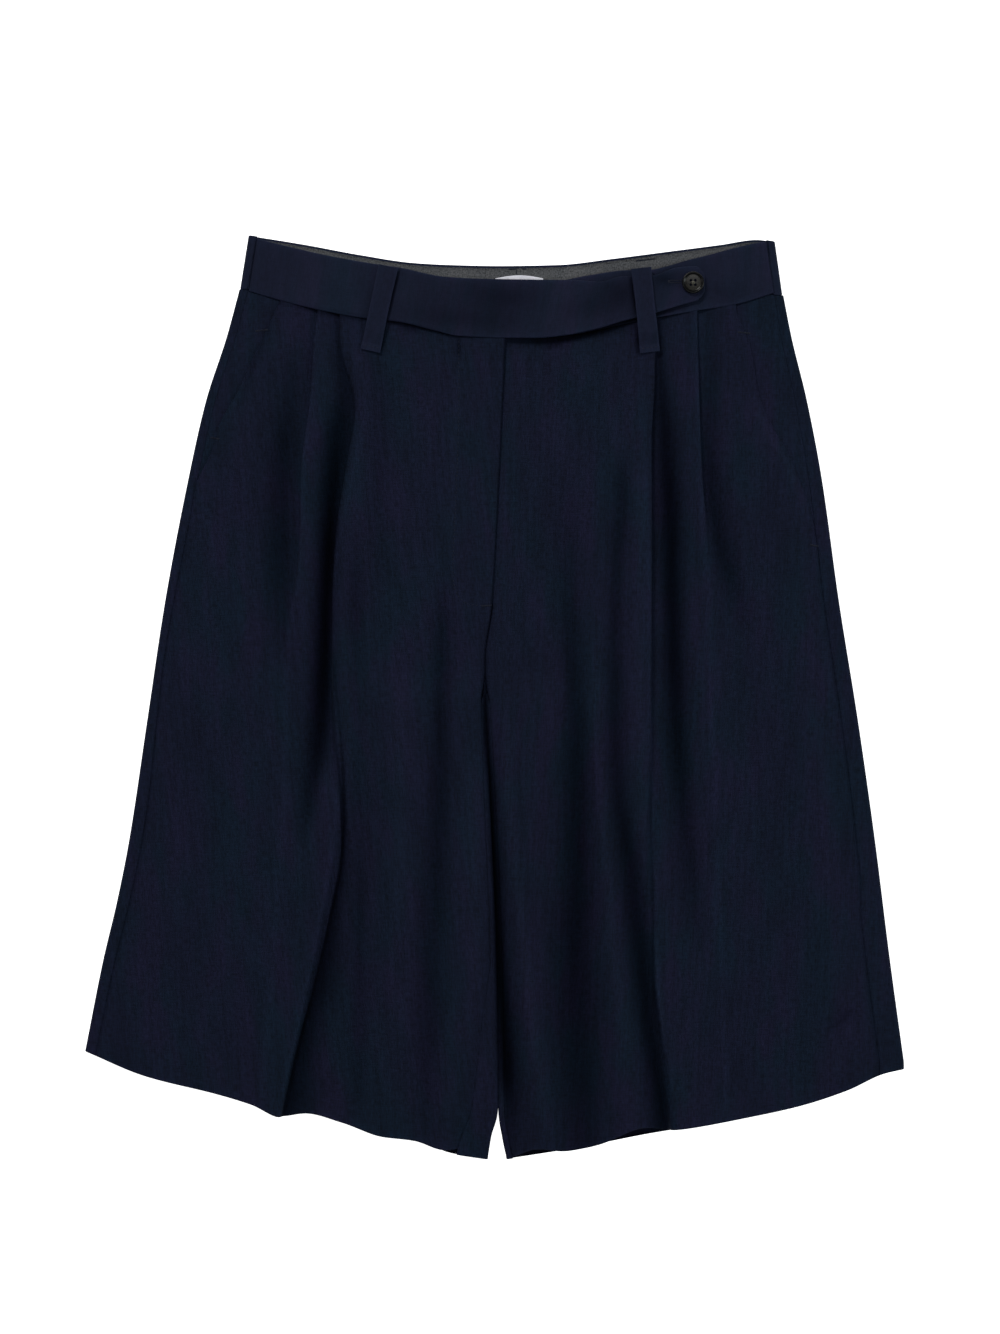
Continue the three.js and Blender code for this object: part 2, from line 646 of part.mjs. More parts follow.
// A wall of even thickness about a grid of points, closed at its four edges.
function wall(name, grid, thickness, material) {
  const rows = grid.length;
  const columns = grid[0].length;
  const at = (r, c) => grid[clamp(r, 0, rows - 1)][clamp(c, 0, columns - 1)];
  const positions = [];
  const normal = new THREE.Vector3();
  const along = new THREE.Vector3();
  const across = new THREE.Vector3();
  for (const sign of [1, -1]) {
    for (let r = 0; r < rows; r += 1) {
      for (let c = 0; c < columns; c += 1) {
        across.subVectors(at(r, c + 1), at(r, c)).normalize();
        across.add(along.subVectors(at(r, c), at(r, c - 1)).normalize());
        along.subVectors(at(r + 1, c), at(r - 1, c));
        normal.crossVectors(across, along).normalize();
        const p = at(r, c);
        const offset = (sign * thickness) / 2;
        positions.push(p.x + normal.x * offset, p.y + normal.y * offset, p.z + normal.z * offset);
      }
    }
  }
  const layer = rows * columns;
  const id = (r, c, side) => side * layer + r * columns + c;
  const indices = [];
  const quad = (a, b, c, d) => indices.push(a, b, c, a, c, d);
  for (let r = 0; r < rows - 1; r += 1) {
    for (let c = 0; c < columns - 1; c += 1) {
      quad(id(r, c, 0), id(r, c + 1, 0), id(r + 1, c + 1, 0), id(r + 1, c, 0));
      quad(id(r, c, 1), id(r + 1, c, 1), id(r + 1, c + 1, 1), id(r, c + 1, 1));
    }
  }
  for (let c = 0; c < columns - 1; c += 1) {
    quad(id(0, c, 1), id(0, c + 1, 1), id(0, c + 1, 0), id(0, c, 0));
    quad(id(rows - 1, c, 0), id(rows - 1, c + 1, 0), id(rows - 1, c + 1, 1), id(rows - 1, c, 1));
  }
  for (let r = 0; r < rows - 1; r += 1) {
    quad(id(r, 0, 0), id(r + 1, 0, 0), id(r + 1, 0, 1), id(r, 0, 1));
    quad(id(r, columns - 1, 1), id(r + 1, columns - 1, 1), id(r + 1, columns - 1, 0), id(r, columns - 1, 0));
  }
  return meshOf(name, positions, indices, material);
}

// Six times the signed volume tells whether the faces point outwards.
function facesInward(positions, indices) {
  const [a, b, c] = [new THREE.Vector3(), new THREE.Vector3(), new THREE.Vector3()];
  let sum = 0;
  for (let i = 0; i < indices.length; i += 3) {
    a.fromArray(positions, 3 * indices[i]);
    b.fromArray(positions, 3 * indices[i + 1]);
    c.fromArray(positions, 3 * indices[i + 2]);
    sum += a.dot(b.cross(c));
  }
  return sum < 0;
}

function meshOf(name, positions, indices, material) {
  if (facesInward(positions, indices)) indices.reverse();
  const geometry = new THREE.BufferGeometry();
  geometry.setAttribute("position", new THREE.Float32BufferAttribute(positions, 3));
  geometry.setIndex(indices);
  geometry.computeVertexNormals();
  const mesh = new THREE.Mesh(geometry, material);
  mesh.name = name;
  return mesh;
}

const vector = (x, y, z) => new THREE.Vector3(x, y, z);

const evenShares = (steps) => Array.from({ length: steps + 1 }, (_, i) => i / steps);

// Rows of every panel: down to the crotch, closely past it and on to the hem, so that seams share
// stations.
const UPPER_ROWS = 12;
const CROTCH_ROWS = 4;
const LOWER_ROWS = 8;
const CROTCH_TOP = CROTCH_Y + CROTCH_BLEND;
const CROTCH_FOOT = CROTCH_Y - CROTCH_BLEND;
const upperRow = (waistY, row) => mix(waistY, CROTCH_TOP, row / UPPER_ROWS);

function rowHeight(row, waistY, hemY) {
  if (row <= UPPER_ROWS) return upperRow(waistY, row);
  const below = row - UPPER_ROWS;
  if (below <= CROTCH_ROWS) return mix(CROTCH_TOP, CROTCH_FOOT, below / CROTCH_ROWS);
  return mix(CROTCH_FOOT, hemY, (below - CROTCH_ROWS) / LOWER_ROWS);
}

// A panel's grid between two edges given by x. Each point settles on its own height.
function panelGrid(section, upperEdge, lowerEdge) {
  const count = section(0).length;
  const rowY = (row, x) => rowHeight(row, upperEdge(x), lowerEdge(x));
  const grid = [];
  for (let row = 0; row <= UPPER_ROWS + CROTCH_ROWS + LOWER_ROWS; row += 1) {
    const points = [];
    for (let i = 0; i < count; i += 1) {
      let y = rowY(row, 0);
      for (let pass = 0; pass < 6; pass += 1) y = rowY(row, section(y)[i].x);
      const { x, z } = section(y)[i];
      points.push(vector(x, y, z));
    }
    grid.push(points);
  }
  return grid;
}

// Materials
const cloth = (color, roughness = 0.9) => new THREE.MeshStandardMaterial({ color, roughness, metalness: 0 });
const suiting = () => cloth(0x16192a);
const bandSuiting = () => cloth(0x1b1f2d);
const facingCloth = () => cloth(0x4e5054);
const labelCloth = () => cloth(0xf2f2f0, 0.8);
const tapeCloth = () => cloth(0x121420);
const horn = () => new THREE.MeshStandardMaterial({ color: 0x1c1a16, roughness: 0.35, metalness: 0 });

// Pieces

function frontPanel(name, leg) {
  const hem = (x) => leg.hem(x)
    + leg.hemReveal.reduce((sum, r) => sum + r.rise * bell(x - r.x, r.width), 0);
  const waist = (x) => frontWaist(x) - HALF_GAP;
  const grid = panelGrid((y) => frontSection(leg, y), waist, hem);
  return wall(name, grid, CLOTH, suiting());
}

function backPanel(name, leg) {
  const waist = (x) => backWaist(x) - HALF_GAP;
  const grid = panelGrid((y) => backSection(leg, y), waist, leg.hem);
  return wall(name, grid, CLOTH, suiting());
}

// The hip piece that shows in the pocket's slant and carries on under the front.
function pocketFacing(name, leg) {
  const acrossSteps = 5;
  const rows = Array.from({ length: leg.pocketRows + 1 }, (_, i) => i);
  const grid = rows.map((row) => evenShares(acrossSteps).map((share) => {
    const at = (y) => {
      const outer = sideSeam(leg, y) + leg.inward * SEAM_GAP;
      const inner = leg.pocket(y) + leg.inward * POCKET_FACING_WIDTH;
      return mix(outer, inner, share);
    };
    let y = upperRow(backWaist(at(250)), row);
    for (let pass = 0; pass < 6; pass += 1) {
      const seamY = upperRow(backWaist(at(y)), row);
      y = Math.min(seamY, frontWaist(at(y)) - HALF_GAP);
    }
    return vector(at(y), y, seamHeight(y));
  }));
  return wall(name, grid, CLOTH, suiting());
}

const bandRightTop = column(BAND_RIGHT, "top", "x");
const bandRightLowZ = column(BAND_RIGHT, "zLow", "x");
const bandRightTopZ = column(BAND_RIGHT, "zTop", "x");
const bandLeftTop = column(BAND_LEFT, "top", "x");
const bandLeftLowZ = column(BAND_LEFT, "zLow", "x");
const bandLeftTopZ = column(BAND_LEFT, "zTop", "x");
const tabLower = column(TAB_LOWER, "y", "x");
const bandRightLow = (x) => (x < TAB_START_X ? frontWaist(x) : tabLower(x)) + HALF_GAP;
const bandLeftLow = (x) => frontWaist(x) + HALF_GAP;

// The band's outer edges lean in towards the top.
const bandSide = {
  right: (t) => mix(-167.6, -162, t),
  left: (t) => mix(189.6, 184.6, t),
};

const FRONT_BAND_STEPS = { along: 22, up: 4 };

function frontBand(name, startX, endX, low, top, lowZ, topZ) {
  const grid = evenShares(FRONT_BAND_STEPS.up).map((t) =>
    evenShares(FRONT_BAND_STEPS.along).map((share) => {
      const x = mix(startX(t), endX(t), share);
      return vector(x, mix(low(x), top(x), t), mix(lowZ(x), topZ(x), t));
    }));
  return wall(name, grid, BAND_CLOTH, bandSuiting());
}

function waistbandRight() {
  const start = (t) => bandSide.right(t) + BAND_WRAP + SEAM_GAP;
  const end = (t) => TAB_END_X - TAB_ROUNDING * (2 * t - 1) ** 4;
  return frontBand("waistband_right", start, end, bandRightLow, bandRightTop, bandRightLowZ, bandRightTopZ);
}

function waistbandLeft() {
  const start = () => BAND_LEFT[0].x;
  const end = (t) => bandSide.left(t) - BAND_WRAP - SEAM_GAP;
  return frontBand("waistband_left", start, end, bandLeftLow, bandLeftTop, bandLeftLowZ, bandLeftTopZ);
}

// The back band lies on the surface and comes round both sides onto the front.
function waistbandBack() {
  const steps = { flat: 20, fold: 6, up: 3 };
  const rest = BAND_CLOTH / 2 + LOOP_LIFT;
  const r = BAND_FOLD_RADIUS;
  const grid = evenShares(steps.up).map((t) => {
    const [leftX, rightX] = [bandSide.right(t) + BAND_CLOTH / 2, bandSide.left(t) - BAND_CLOTH / 2];
    const path = [{ x: bandSide.right(t) + BAND_WRAP, z: rest + 2 * r }];
    for (let i = 0; i <= steps.fold; i += 1) {
      const angle = Math.PI / 2 + (Math.PI * i) / steps.fold;
      path.push({ x: leftX + r + r * Math.cos(angle), z: rest + r + r * Math.sin(angle) });
    }
    for (let i = 1; i < steps.flat; i += 1) {
      path.push({ x: mix(leftX + r, rightX - r, i / steps.flat), z: rest });
    }
    for (let i = 0; i <= steps.fold; i += 1) {
      const angle = -Math.PI / 2 + (Math.PI * i) / steps.fold;
      path.push({ x: rightX - r + r * Math.cos(angle), z: rest + r + r * Math.sin(angle) });
    }
    path.push({ x: bandSide.left(t) - BAND_WRAP, z: rest + 2 * r });
    return path.map((p) => {
      return vector(p.x, mix(backWaist(p.x) + HALF_GAP, backTop(p.x), t), p.z);
    });
  });
  return wall("waistband_back", grid, BAND_CLOTH, bandSuiting());
}

const FACING_Z = LOOP_LIFT + BAND_CLOTH + SEAM_GAP + TRIM_CLOTH / 2;
const FACING = { from: -151, to: 175, upper: 1.7, lower: 1 };

function waistbandFacing() {
  const grid = evenShares(2).map((t) => evenShares(16).map((share) => {
    const x = mix(FACING.from, FACING.to, share);
    const y = mix(backWaist(x) + FACING.lower, backTop(x) - FACING.upper, t);
    return vector(x, y, FACING_Z);
  }));
  return wall("waistband_facing", grid, TRIM_CLOTH, facingCloth());
}

const LABEL = { from: 0.6, to: 32, low: 258, shoulder: 275.6, crown: 277.6 };

function label() {
  const grid = evenShares(3).map((t) => evenShares(10).map((share) => {
    const x = mix(LABEL.from, LABEL.to, share);
    const arch = mix(LABEL.shoulder, LABEL.crown, Math.sin(Math.PI * share));
    const y = mix(LABEL.low, arch, t);
    return vector(x, y, FACING_Z + TRIM_CLOTH + SEAM_GAP);
  }));
  return wall("label", grid, TRIM_CLOTH, labelCloth());
}

// A front loop stands over the band from its upper edge to a point below the waist seam.
function frontLoop(name, leg, top, bottom, band) {
  const along = vector(bottom.x - top.x, bottom.y - top.y, 0).normalize();
  const sideways = vector(-along.y, along.x, 0);
  const rise = BAND_CLOTH / 2 + SEAM_GAP + TRIM_CLOTH / 2;
  const onCloth = CLOTH / 2 + SEAM_GAP + TRIM_CLOTH / 2;
  const endHeight = Math.max(
    ...[-0.5, 0, 0.5].map((side) => frontHeight(leg, bottom.x + side * LOOP_WIDTH, bottom.y)),
    ...[-0.5, 0, 0.5].map((side) => frontHeight(leg, bottom.x + side * LOOP_WIDTH, bottom.y + 5)),
  ) + onCloth;
  const bandMost = Math.max(
    ...[-0.5, 0, 0.5].map((side) => band.zLow(bottom.x + side * LOOP_WIDTH)),
    ...[-0.5, 0, 0.5].map((side) => band.zTop(top.x + side * LOOP_WIDTH)),
  ) + rise;
  const grid = evenShares(12).map((t) => evenShares(2).map((side) => {
    const x = mix(top.x, bottom.x, t) + sideways.x * (side - 0.5) * LOOP_WIDTH;
    const y = mix(top.y, bottom.y, t) + sideways.y * (side - 0.5) * LOOP_WIDTH;
    const overBand = bandMost + LOOP_BULGE * Math.sin(Math.PI * clamp(t / 0.8, 0, 1));
    return vector(x, y, mix(overBand, endHeight, smoothstep(t, 0.74, 0.92)));
  }));
  return wall(name, grid, TRIM_CLOTH, bandSuiting());
}

// A back loop lies flat between the band and the surface.
function backLoop(name, x) {
  const grid = evenShares(4).map((t) => evenShares(2).map((side) => {
    const across = x + (side - 0.5) * LOOP_WIDTH;
    return vector(across, mix(backTop(x) - 0.4, backWaist(x) - 9, t), TRIM_CLOTH / 2);
  }));
  return wall(name, grid, TRIM_CLOTH, bandSuiting());
}

// Strips inside the fly, between given distances from the lapping edge.
function flyStrip(name, nearEdge, width, z, material) {
  const steps = { down: 8, across: 2 };
  const [topY, bottomY] = [frontWaist(-10) - 1.5, FLY_END_Y + 16];
  const grid = evenShares(steps.down).map((down) => evenShares(steps.across).map((share) => {
    const y = mix(topY, bottomY, down);
    return vector(centreFront(y) - nearEdge - share * width, y, z + loopLift(y));
  }));
  return wall(name, grid, CLOTH, material);
}

// Four-hole button with a raised rim, resting on the tab.
function button() {
  const circle = (shape, x, y, radius) => shape.absarc(x, y, radius, 0, 2 * Math.PI, false);
  const disc = circle(new THREE.Shape(), 0, 0, BUTTON.radius);
  for (let i = 0; i < BUTTON_HOLES.count; i += 1) {
    const angle = (2 * Math.PI * (i + 0.5)) / BUTTON_HOLES.count;
    const [x, y] = [BUTTON_HOLES.ring * Math.cos(angle), BUTTON_HOLES.ring * Math.sin(angle)];
    disc.holes.push(circle(new THREE.Path(), x, y, BUTTON_HOLES.radius));
  }
  const rim = circle(new THREE.Shape(), 0, 0, BUTTON.radius - 0.25);
  rim.holes.push(circle(new THREE.Path(), 0, 0, BUTTON.radius - BUTTON.rim));
  const plain = { bevelEnabled: false, curveSegments: 8 };
  const body = solidOf(new THREE.ExtrudeGeometry(disc, { ...plain, depth: BUTTON.thickness }));
  const ring = new THREE.ExtrudeGeometry(rim, { ...plain, depth: BUTTON.rimHeight + 0.3 });
  const joined = body.add(solidOf(ring.translate(0, 0, BUTTON.thickness - 0.3))).getMesh();
  const mesh = meshOf("button", [...joined.vertProperties], [...joined.triVerts], horn());
  const seat = bandRightTopZ(BUTTON.x) + BAND_CLOTH / 2 + SEAM_GAP;
  mesh.position.set(BUTTON.x, BUTTON.y, seat);
  return mesh;
}

// An extruded geometry as a solid for joining: shared corners merged by their rounded place.
function solidOf(geometry) {
  const position = geometry.getAttribute("position");
  const seen = new Map();
  const vertices = [];
  const corners = [];
  for (let i = 0; i < position.count; i += 1) {
    const p = vector(position.getX(i), position.getY(i), position.getZ(i));
    const key = p.toArray().map((v) => Math.round(v * 1e4)).join();
    if (!seen.has(key)) {
      seen.set(key, seen.size);
      vertices.push(...p.toArray());
    }
    corners.push(seen.get(key));
  }
  return new wasm.Manifold(new wasm.Mesh({
    numProp: 3,
    vertProperties: Float32Array.from(vertices),
    triVerts: Uint32Array.from(corners),
  }));
}

const shorts = new THREE.Group();
shorts.name = "bermuda_shorts";
shorts.add(
  backPanel("back_right", rightLeg),
  backPanel("back_left", leftLeg),
  pocketFacing("pocket_facing_right", rightLeg),
  pocketFacing("pocket_facing_left", leftLeg),
  frontPanel("front_right", rightLeg),
  frontPanel("front_left", leftLeg),
  flyStrip("fly_underlap", FLY_UNDERLAP + 1, ZIP_WIDTH + 4, 2.3, suiting()),
  flyStrip("fly_zip", FLY_UNDERLAP + SEAM_GAP, ZIP_WIDTH, 3.9, tapeCloth()),
  waistbandBack(),
  waistbandFacing(),
  label(),
  waistbandLeft(),
  waistbandRight(),
  frontLoop("belt_loop_front_right", rightLeg, { x: -69.6, y: 283 }, { x: -81.5, y: 227.5 },
    { zLow: bandRightLowZ, zTop: bandRightTopZ }),
  frontLoop("belt_loop_front_left", leftLeg, { x: 96, y: 281.5 }, { x: 102, y: 226.5 },
    { zLow: bandRightLowZ, zTop: bandRightTopZ }),
  backLoop("belt_loop_back_right", BACK_LOOPS.right),
  backLoop("belt_loop_back_centre", BACK_LOOPS.centre),
  backLoop("belt_loop_back_left", BACK_LOOPS.left),
  button(),
);

export default shorts;
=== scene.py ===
"""Looks of a pair of pleated bermuda shorts, laid flat with the front up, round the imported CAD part.

Sizes in the tables are millimetres in the CAD's frame: +X is the wearer's left, +Y the waist, +Z up.
Every sheet of cloth is a thin closed shell about the same worked-out middle surface as its solid.
"""

import logging
import math
from collections.abc import Iterable
from dataclasses import dataclass
from enum import Enum
from typing import NamedTuple

import bpy
import numpy as np
from bpy.types import Material, NodeSocket, Object
from mathutils import Matrix, Vector
from mathutils.bvhtree import BVHTree


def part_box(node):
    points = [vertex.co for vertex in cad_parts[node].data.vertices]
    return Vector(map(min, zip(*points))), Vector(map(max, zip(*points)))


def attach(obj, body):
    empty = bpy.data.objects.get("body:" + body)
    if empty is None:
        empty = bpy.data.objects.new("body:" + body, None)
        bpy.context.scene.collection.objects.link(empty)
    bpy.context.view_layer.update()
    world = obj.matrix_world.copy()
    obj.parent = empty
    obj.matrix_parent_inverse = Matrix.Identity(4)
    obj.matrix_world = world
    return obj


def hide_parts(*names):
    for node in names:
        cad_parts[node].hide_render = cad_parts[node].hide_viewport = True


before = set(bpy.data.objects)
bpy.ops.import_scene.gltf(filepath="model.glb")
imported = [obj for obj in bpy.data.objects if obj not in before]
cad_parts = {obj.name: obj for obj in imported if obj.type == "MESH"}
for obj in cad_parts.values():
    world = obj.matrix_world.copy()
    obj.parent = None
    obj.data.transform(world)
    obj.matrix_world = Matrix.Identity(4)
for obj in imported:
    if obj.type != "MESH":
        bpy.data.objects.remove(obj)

LOG = logging.getLogger("bermuda_shorts")
Array = np.ndarray
Colour = tuple[float, float, float]
Point = tuple[float, float]
MM = 0.001
SHEER = 0.8  # shown thickness of a suiting panel
SEAM_GAP = 0.3
TOUCH = -0.03  # shown edges meet, so that no light comes through a seam
CROTCH_PRESS = 0.35  # more of it where the backs curl up
LEGS_PRESS = 0.12  # how far the legs press against each other
CLOTH = 1.2  # wall of the solids, which sets where layers lie
BAND_HEIGHT = 35.5
SIDE_FOLD_RADIUS = 1.6
LEG_FOLD_RADIUS = 1.5
BAND_FOLD_RADIUS = 1.8
BAND_WRAP = 6.0
CROTCH_Y = 5.0
CROTCH_BLEND = 12.0
CROTCH_EASE = 0.4
PLEAT_BEND = 2.7
LOOP_LIFT = 1.3
LOOP_LIFT_FROM, LOOP_LIFT_TO = 195.0, 232.0
FLY_END_Y = 60.0
FLY_UNDERLAP = 5.0
NOTCH_TOP, NOTCH_FOOT = -266.0, -289.0
SEAM_REACH = 0.8
EDGE_WEAR = 2.2  # how far from an edge or a crest the cloth looks handled
BACK_CENTRE_X = 14.9


class Slot(Enum):
    """Names of the material slots."""

    SUITING = "suiting"
    WAISTBAND = "waistband"
    FACING = "facing"
    LABEL = "label"
    ZIP_TAPE = "zip_tape"
    BUTTON = "button"


class Reveal(NamedTuple):
    """A place where the front's hem sits higher and the back's hem shows."""

    x: float
    width: float
    rise: float


class Curve:
    """A smooth curve that never overshoots, through points that hold a place and the value there."""

    def __init__(self, *points: Point) -> None:
        """Reads the points, which may run either way.

        Args:
            points: a place and the value there, for each.
        """
        self.at, self.value = np.array(sorted(points), float).T
        rise = np.diff(self.value) / np.diff(self.at)
        self.slope = np.empty(len(self.at))
        self.slope[0], self.slope[-1] = rise[0], rise[-1]
        before, after = rise[:-1], rise[1:]
        same_way = before * after > 0
        safe = np.where(same_way, before * after, 1.0)
        self.slope[1:-1] = np.where(same_way, 2 * safe / np.where(same_way, before + after, 1.0), 0.0)

    def __call__(self, v: Array | float) -> Array:
        """Reads the curve, which is held level beyond its ends.

        Args:
            v: places along it.

        Returns:
            The value at each.
        """
        v = np.clip(np.asarray(v, float), self.at[0], self.at[-1])
        i = np.clip(np.searchsorted(self.at, v, side="right") - 1, 0, len(self.at) - 2)
        width = self.at[i + 1] - self.at[i]
        t = (v - self.at[i]) / width
        s = t * t * (3 - 2 * t)
        bend = t * (1 - t) ** 2 * self.slope[i] - t * t * (1 - t) * self.slope[i + 1]
        return self.value[i] * (1 - s) + self.value[i + 1] * s + width * bend


def smoothstep(v: Array | float, low: float, high: float) -> Array:
    """Smooth share from 0 at low to 1 at high."""
    t = np.clip((np.asarray(v, float) - low) / (high - low), 0, 1)
    return t * t * (3 - 2 * t)


def mix(a: Array | float, b: Array | float, t: Array | float) -> Array:
    """Value between a and b at share t."""
    return a + (b - a) * t


def bell(distance: Array, width: float) -> Array:
    """Soft bump of height 1 that fades over about twice its width."""
    return np.exp(-((distance / width) ** 2))


def unit(vectors: Array) -> Array:
    """Vectors at length 1; a zero vector stays zero."""
    length = np.linalg.norm(vectors, axis=-1, keepdims=True)
    return vectors / np.where(length > 0, length, 1.0)


def stacked(*axes: Array) -> Array:
    """Points from arrays of one shape, one for each axis."""
    return np.stack(np.broadcast_arrays(*axes), axis=-1).astype(float)


def side_step(start: Point, end: Point) -> tuple[float, Point]:
    """Length of the line between two points, and the unit step to its left."""
    run, climb = end[0] - start[0], end[1] - start[1]
    length = math.hypot(run, climb)
    return length, (-climb / length, run / length)


class Rows:
    """Curves of several values. A row holds a place and then each value, in the order of the class."""

    def __init__(self, *rows: tuple[float, ...]) -> None:
        """Makes a curve of each value."""
        for i, name in enumerate(type(self).__annotations__, start=1):
            setattr(self, name, Curve(*((row[0], row[i]) for row in rows)))


class Pleat(Rows):
    """A pleat down a leg: crest, angle of its turn, run, height where it starts, lean."""

    x: Curve
    turn: Curve
    run: Curve
    start: Curve
    lean: Curve


class FrontBand(Rows):
    """A front band along its length: upper edge, height of its middle below and above."""

    top: Curve
    z_low: Curve
    z_top: Curve


class Swell(Rows):
    """How far the cloth swells between each edge and the nearest pleat."""

    outer: Curve
    inner: Curve


class SoftFold(Rows):
    """A soft trough or ridge down a leg: its line, and how far it rises or sinks."""

    x: Curve
    rise: Curve

    def __init__(self, width: float, *rows: tuple[float, float, float]) -> None:
        """Keeps the fold's width and reads its rows."""
        super().__init__(*rows)
        self.width = width


class FoldShade(Rows):
    """Painted shade along a fold: its line, its reach to each side and how dark it is; a negative one paints
    light.
    """

    x: Curve
    left: Curve
    right: Curve
    dark: Curve

    def light(self, x: Array, y: Array) -> Array:
        """Light that the fold leaves at each place."""
        away = x - self.x(y)
        reach = np.where(away < 0, self.left(y), self.right(y))
        return 1 - self.dark(y) * bell(away, np.maximum(reach, 0.3))


class Wrinkle:
    """A short soft wrinkle, or a line of painted shade or light, through points on the garment, fading to
    both ends.
    """

    def __init__(self, width: float, rise: float, *line: Point) -> None:
        """Keeps the width, how far it rises or darkens, and its line."""
        self.width = width
        self.rise = rise
        self.points = np.array(line, float)

    def lift(self, x: Array, y: Array) -> Array:
        """How far the wrinkle lifts the cloth.

        Args:
            x: places across, in mm.
            y: places along, in mm.

        Returns:
            Lift in mm, of the shape of x.
        """
        steps = np.diff(self.points, axis=0)
        lengths = np.linalg.norm(steps, axis=1)
        before = np.concatenate([[0.0], np.cumsum(lengths)])
        nearest = np.full(np.shape(x), 1e9)
        share = np.zeros(np.shape(x))
        for i, (step, (start_x, start_y)) in enumerate(zip(steps, self.points)):
            t = ((x - start_x) * step[0] + (y - start_y) * step[1]) / lengths[i] ** 2
            held = np.clip(t, 0, 1)
            away = np.hypot(x - start_x - held * step[0], y - start_y - held * step[1])
            closer = away < nearest
            nearest = np.where(closer, away, nearest)
            share = np.where(closer, (before[i] + held * lengths[i]) / before[-1], share)
        fade = np.clip(np.sin(math.pi * share), 0, 1) ** 0.7
        return self.rise * bell(nearest, self.width) * fade


def painted_shade_light(painted_shade_lines: Iterable[Wrinkle], x: Array, y: Array, share: Array | float = 1.0) -> Array:
    """Light left under fine lines of painted shade; a negative line paints light.

    Args:
        painted_shade_lines: the lines; a negative one lightens.
        x: places across, in mm.
        y: places along, in mm.
        share: how much of the shade counts at each place.

    Returns:
        The light, 1 where there is no shade.
    """
    light = np.ones(np.shape(x))
    for shade_line in painted_shade_lines:
        light = light * (1 - shade_line.lift(x, y) * share)
    return light


def walk(moves: list[tuple], heading: Array) -> tuple[list[Array], list[Array], list[Array]]:
    """Follows the cloth from 0, 0 through short moves.

    Args:
        moves: length and turning of each move.
        heading: heading at the start for each height, in radians.

    Returns:
        w, z and the heading after each move; w and z begin with the start.
    """
    w, z, headings = [np.zeros_like(heading)], [np.zeros_like(heading)], []
    for length, turning in moves:
        middle = heading + turning / 2
        w.append(w[-1] + length * np.cos(middle))
        z.append(z[-1] + length * np.sin(middle))
        heading = heading + turning
        headings.append(heading)
    return w, z, headings


def linked(name: str, data: bpy.types.ID) -> Object:
    """An object of some data in the scene."""
    made = bpy.data.objects.new(name, data)
    bpy.context.scene.collection.objects.link(made)
    return made


def from_corners(name: str, corners: Iterable[Iterable[float]], faces: list[tuple[int, ...]]) -> Object:
    """An object with corners given in mm."""
    mesh = bpy.data.meshes.new(name)
    mesh.from_pydata([tuple(v * MM for v in corner) for corner in corners], [], faces)
    return linked(name, mesh)


def place(made: Object, material: Material, slot: Slot, node: str | None = None) -> Object:
    """Gives a piece its finish and body and, where it stands for a CAD node, hides that node.

    Args:
        made: the piece.
        material: its finish.
        slot: not used.
        node: name of the CAD node.

    Returns:
        The same piece.
    """
    made.data.materials.clear()
    made.data.materials.append(material)
    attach(made, "root")
    if node:
        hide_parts(node)
    return made


@dataclass(frozen=True)
class Cut:
    """A sheet's name, its CAD node and slot, and what is cut for it, in metres and square metres."""

    name: str
    node: str
    flat: Point
    area: float | None = None
    rests_on: tuple[str, ...] = ()
    slot: Slot = Slot.SUITING


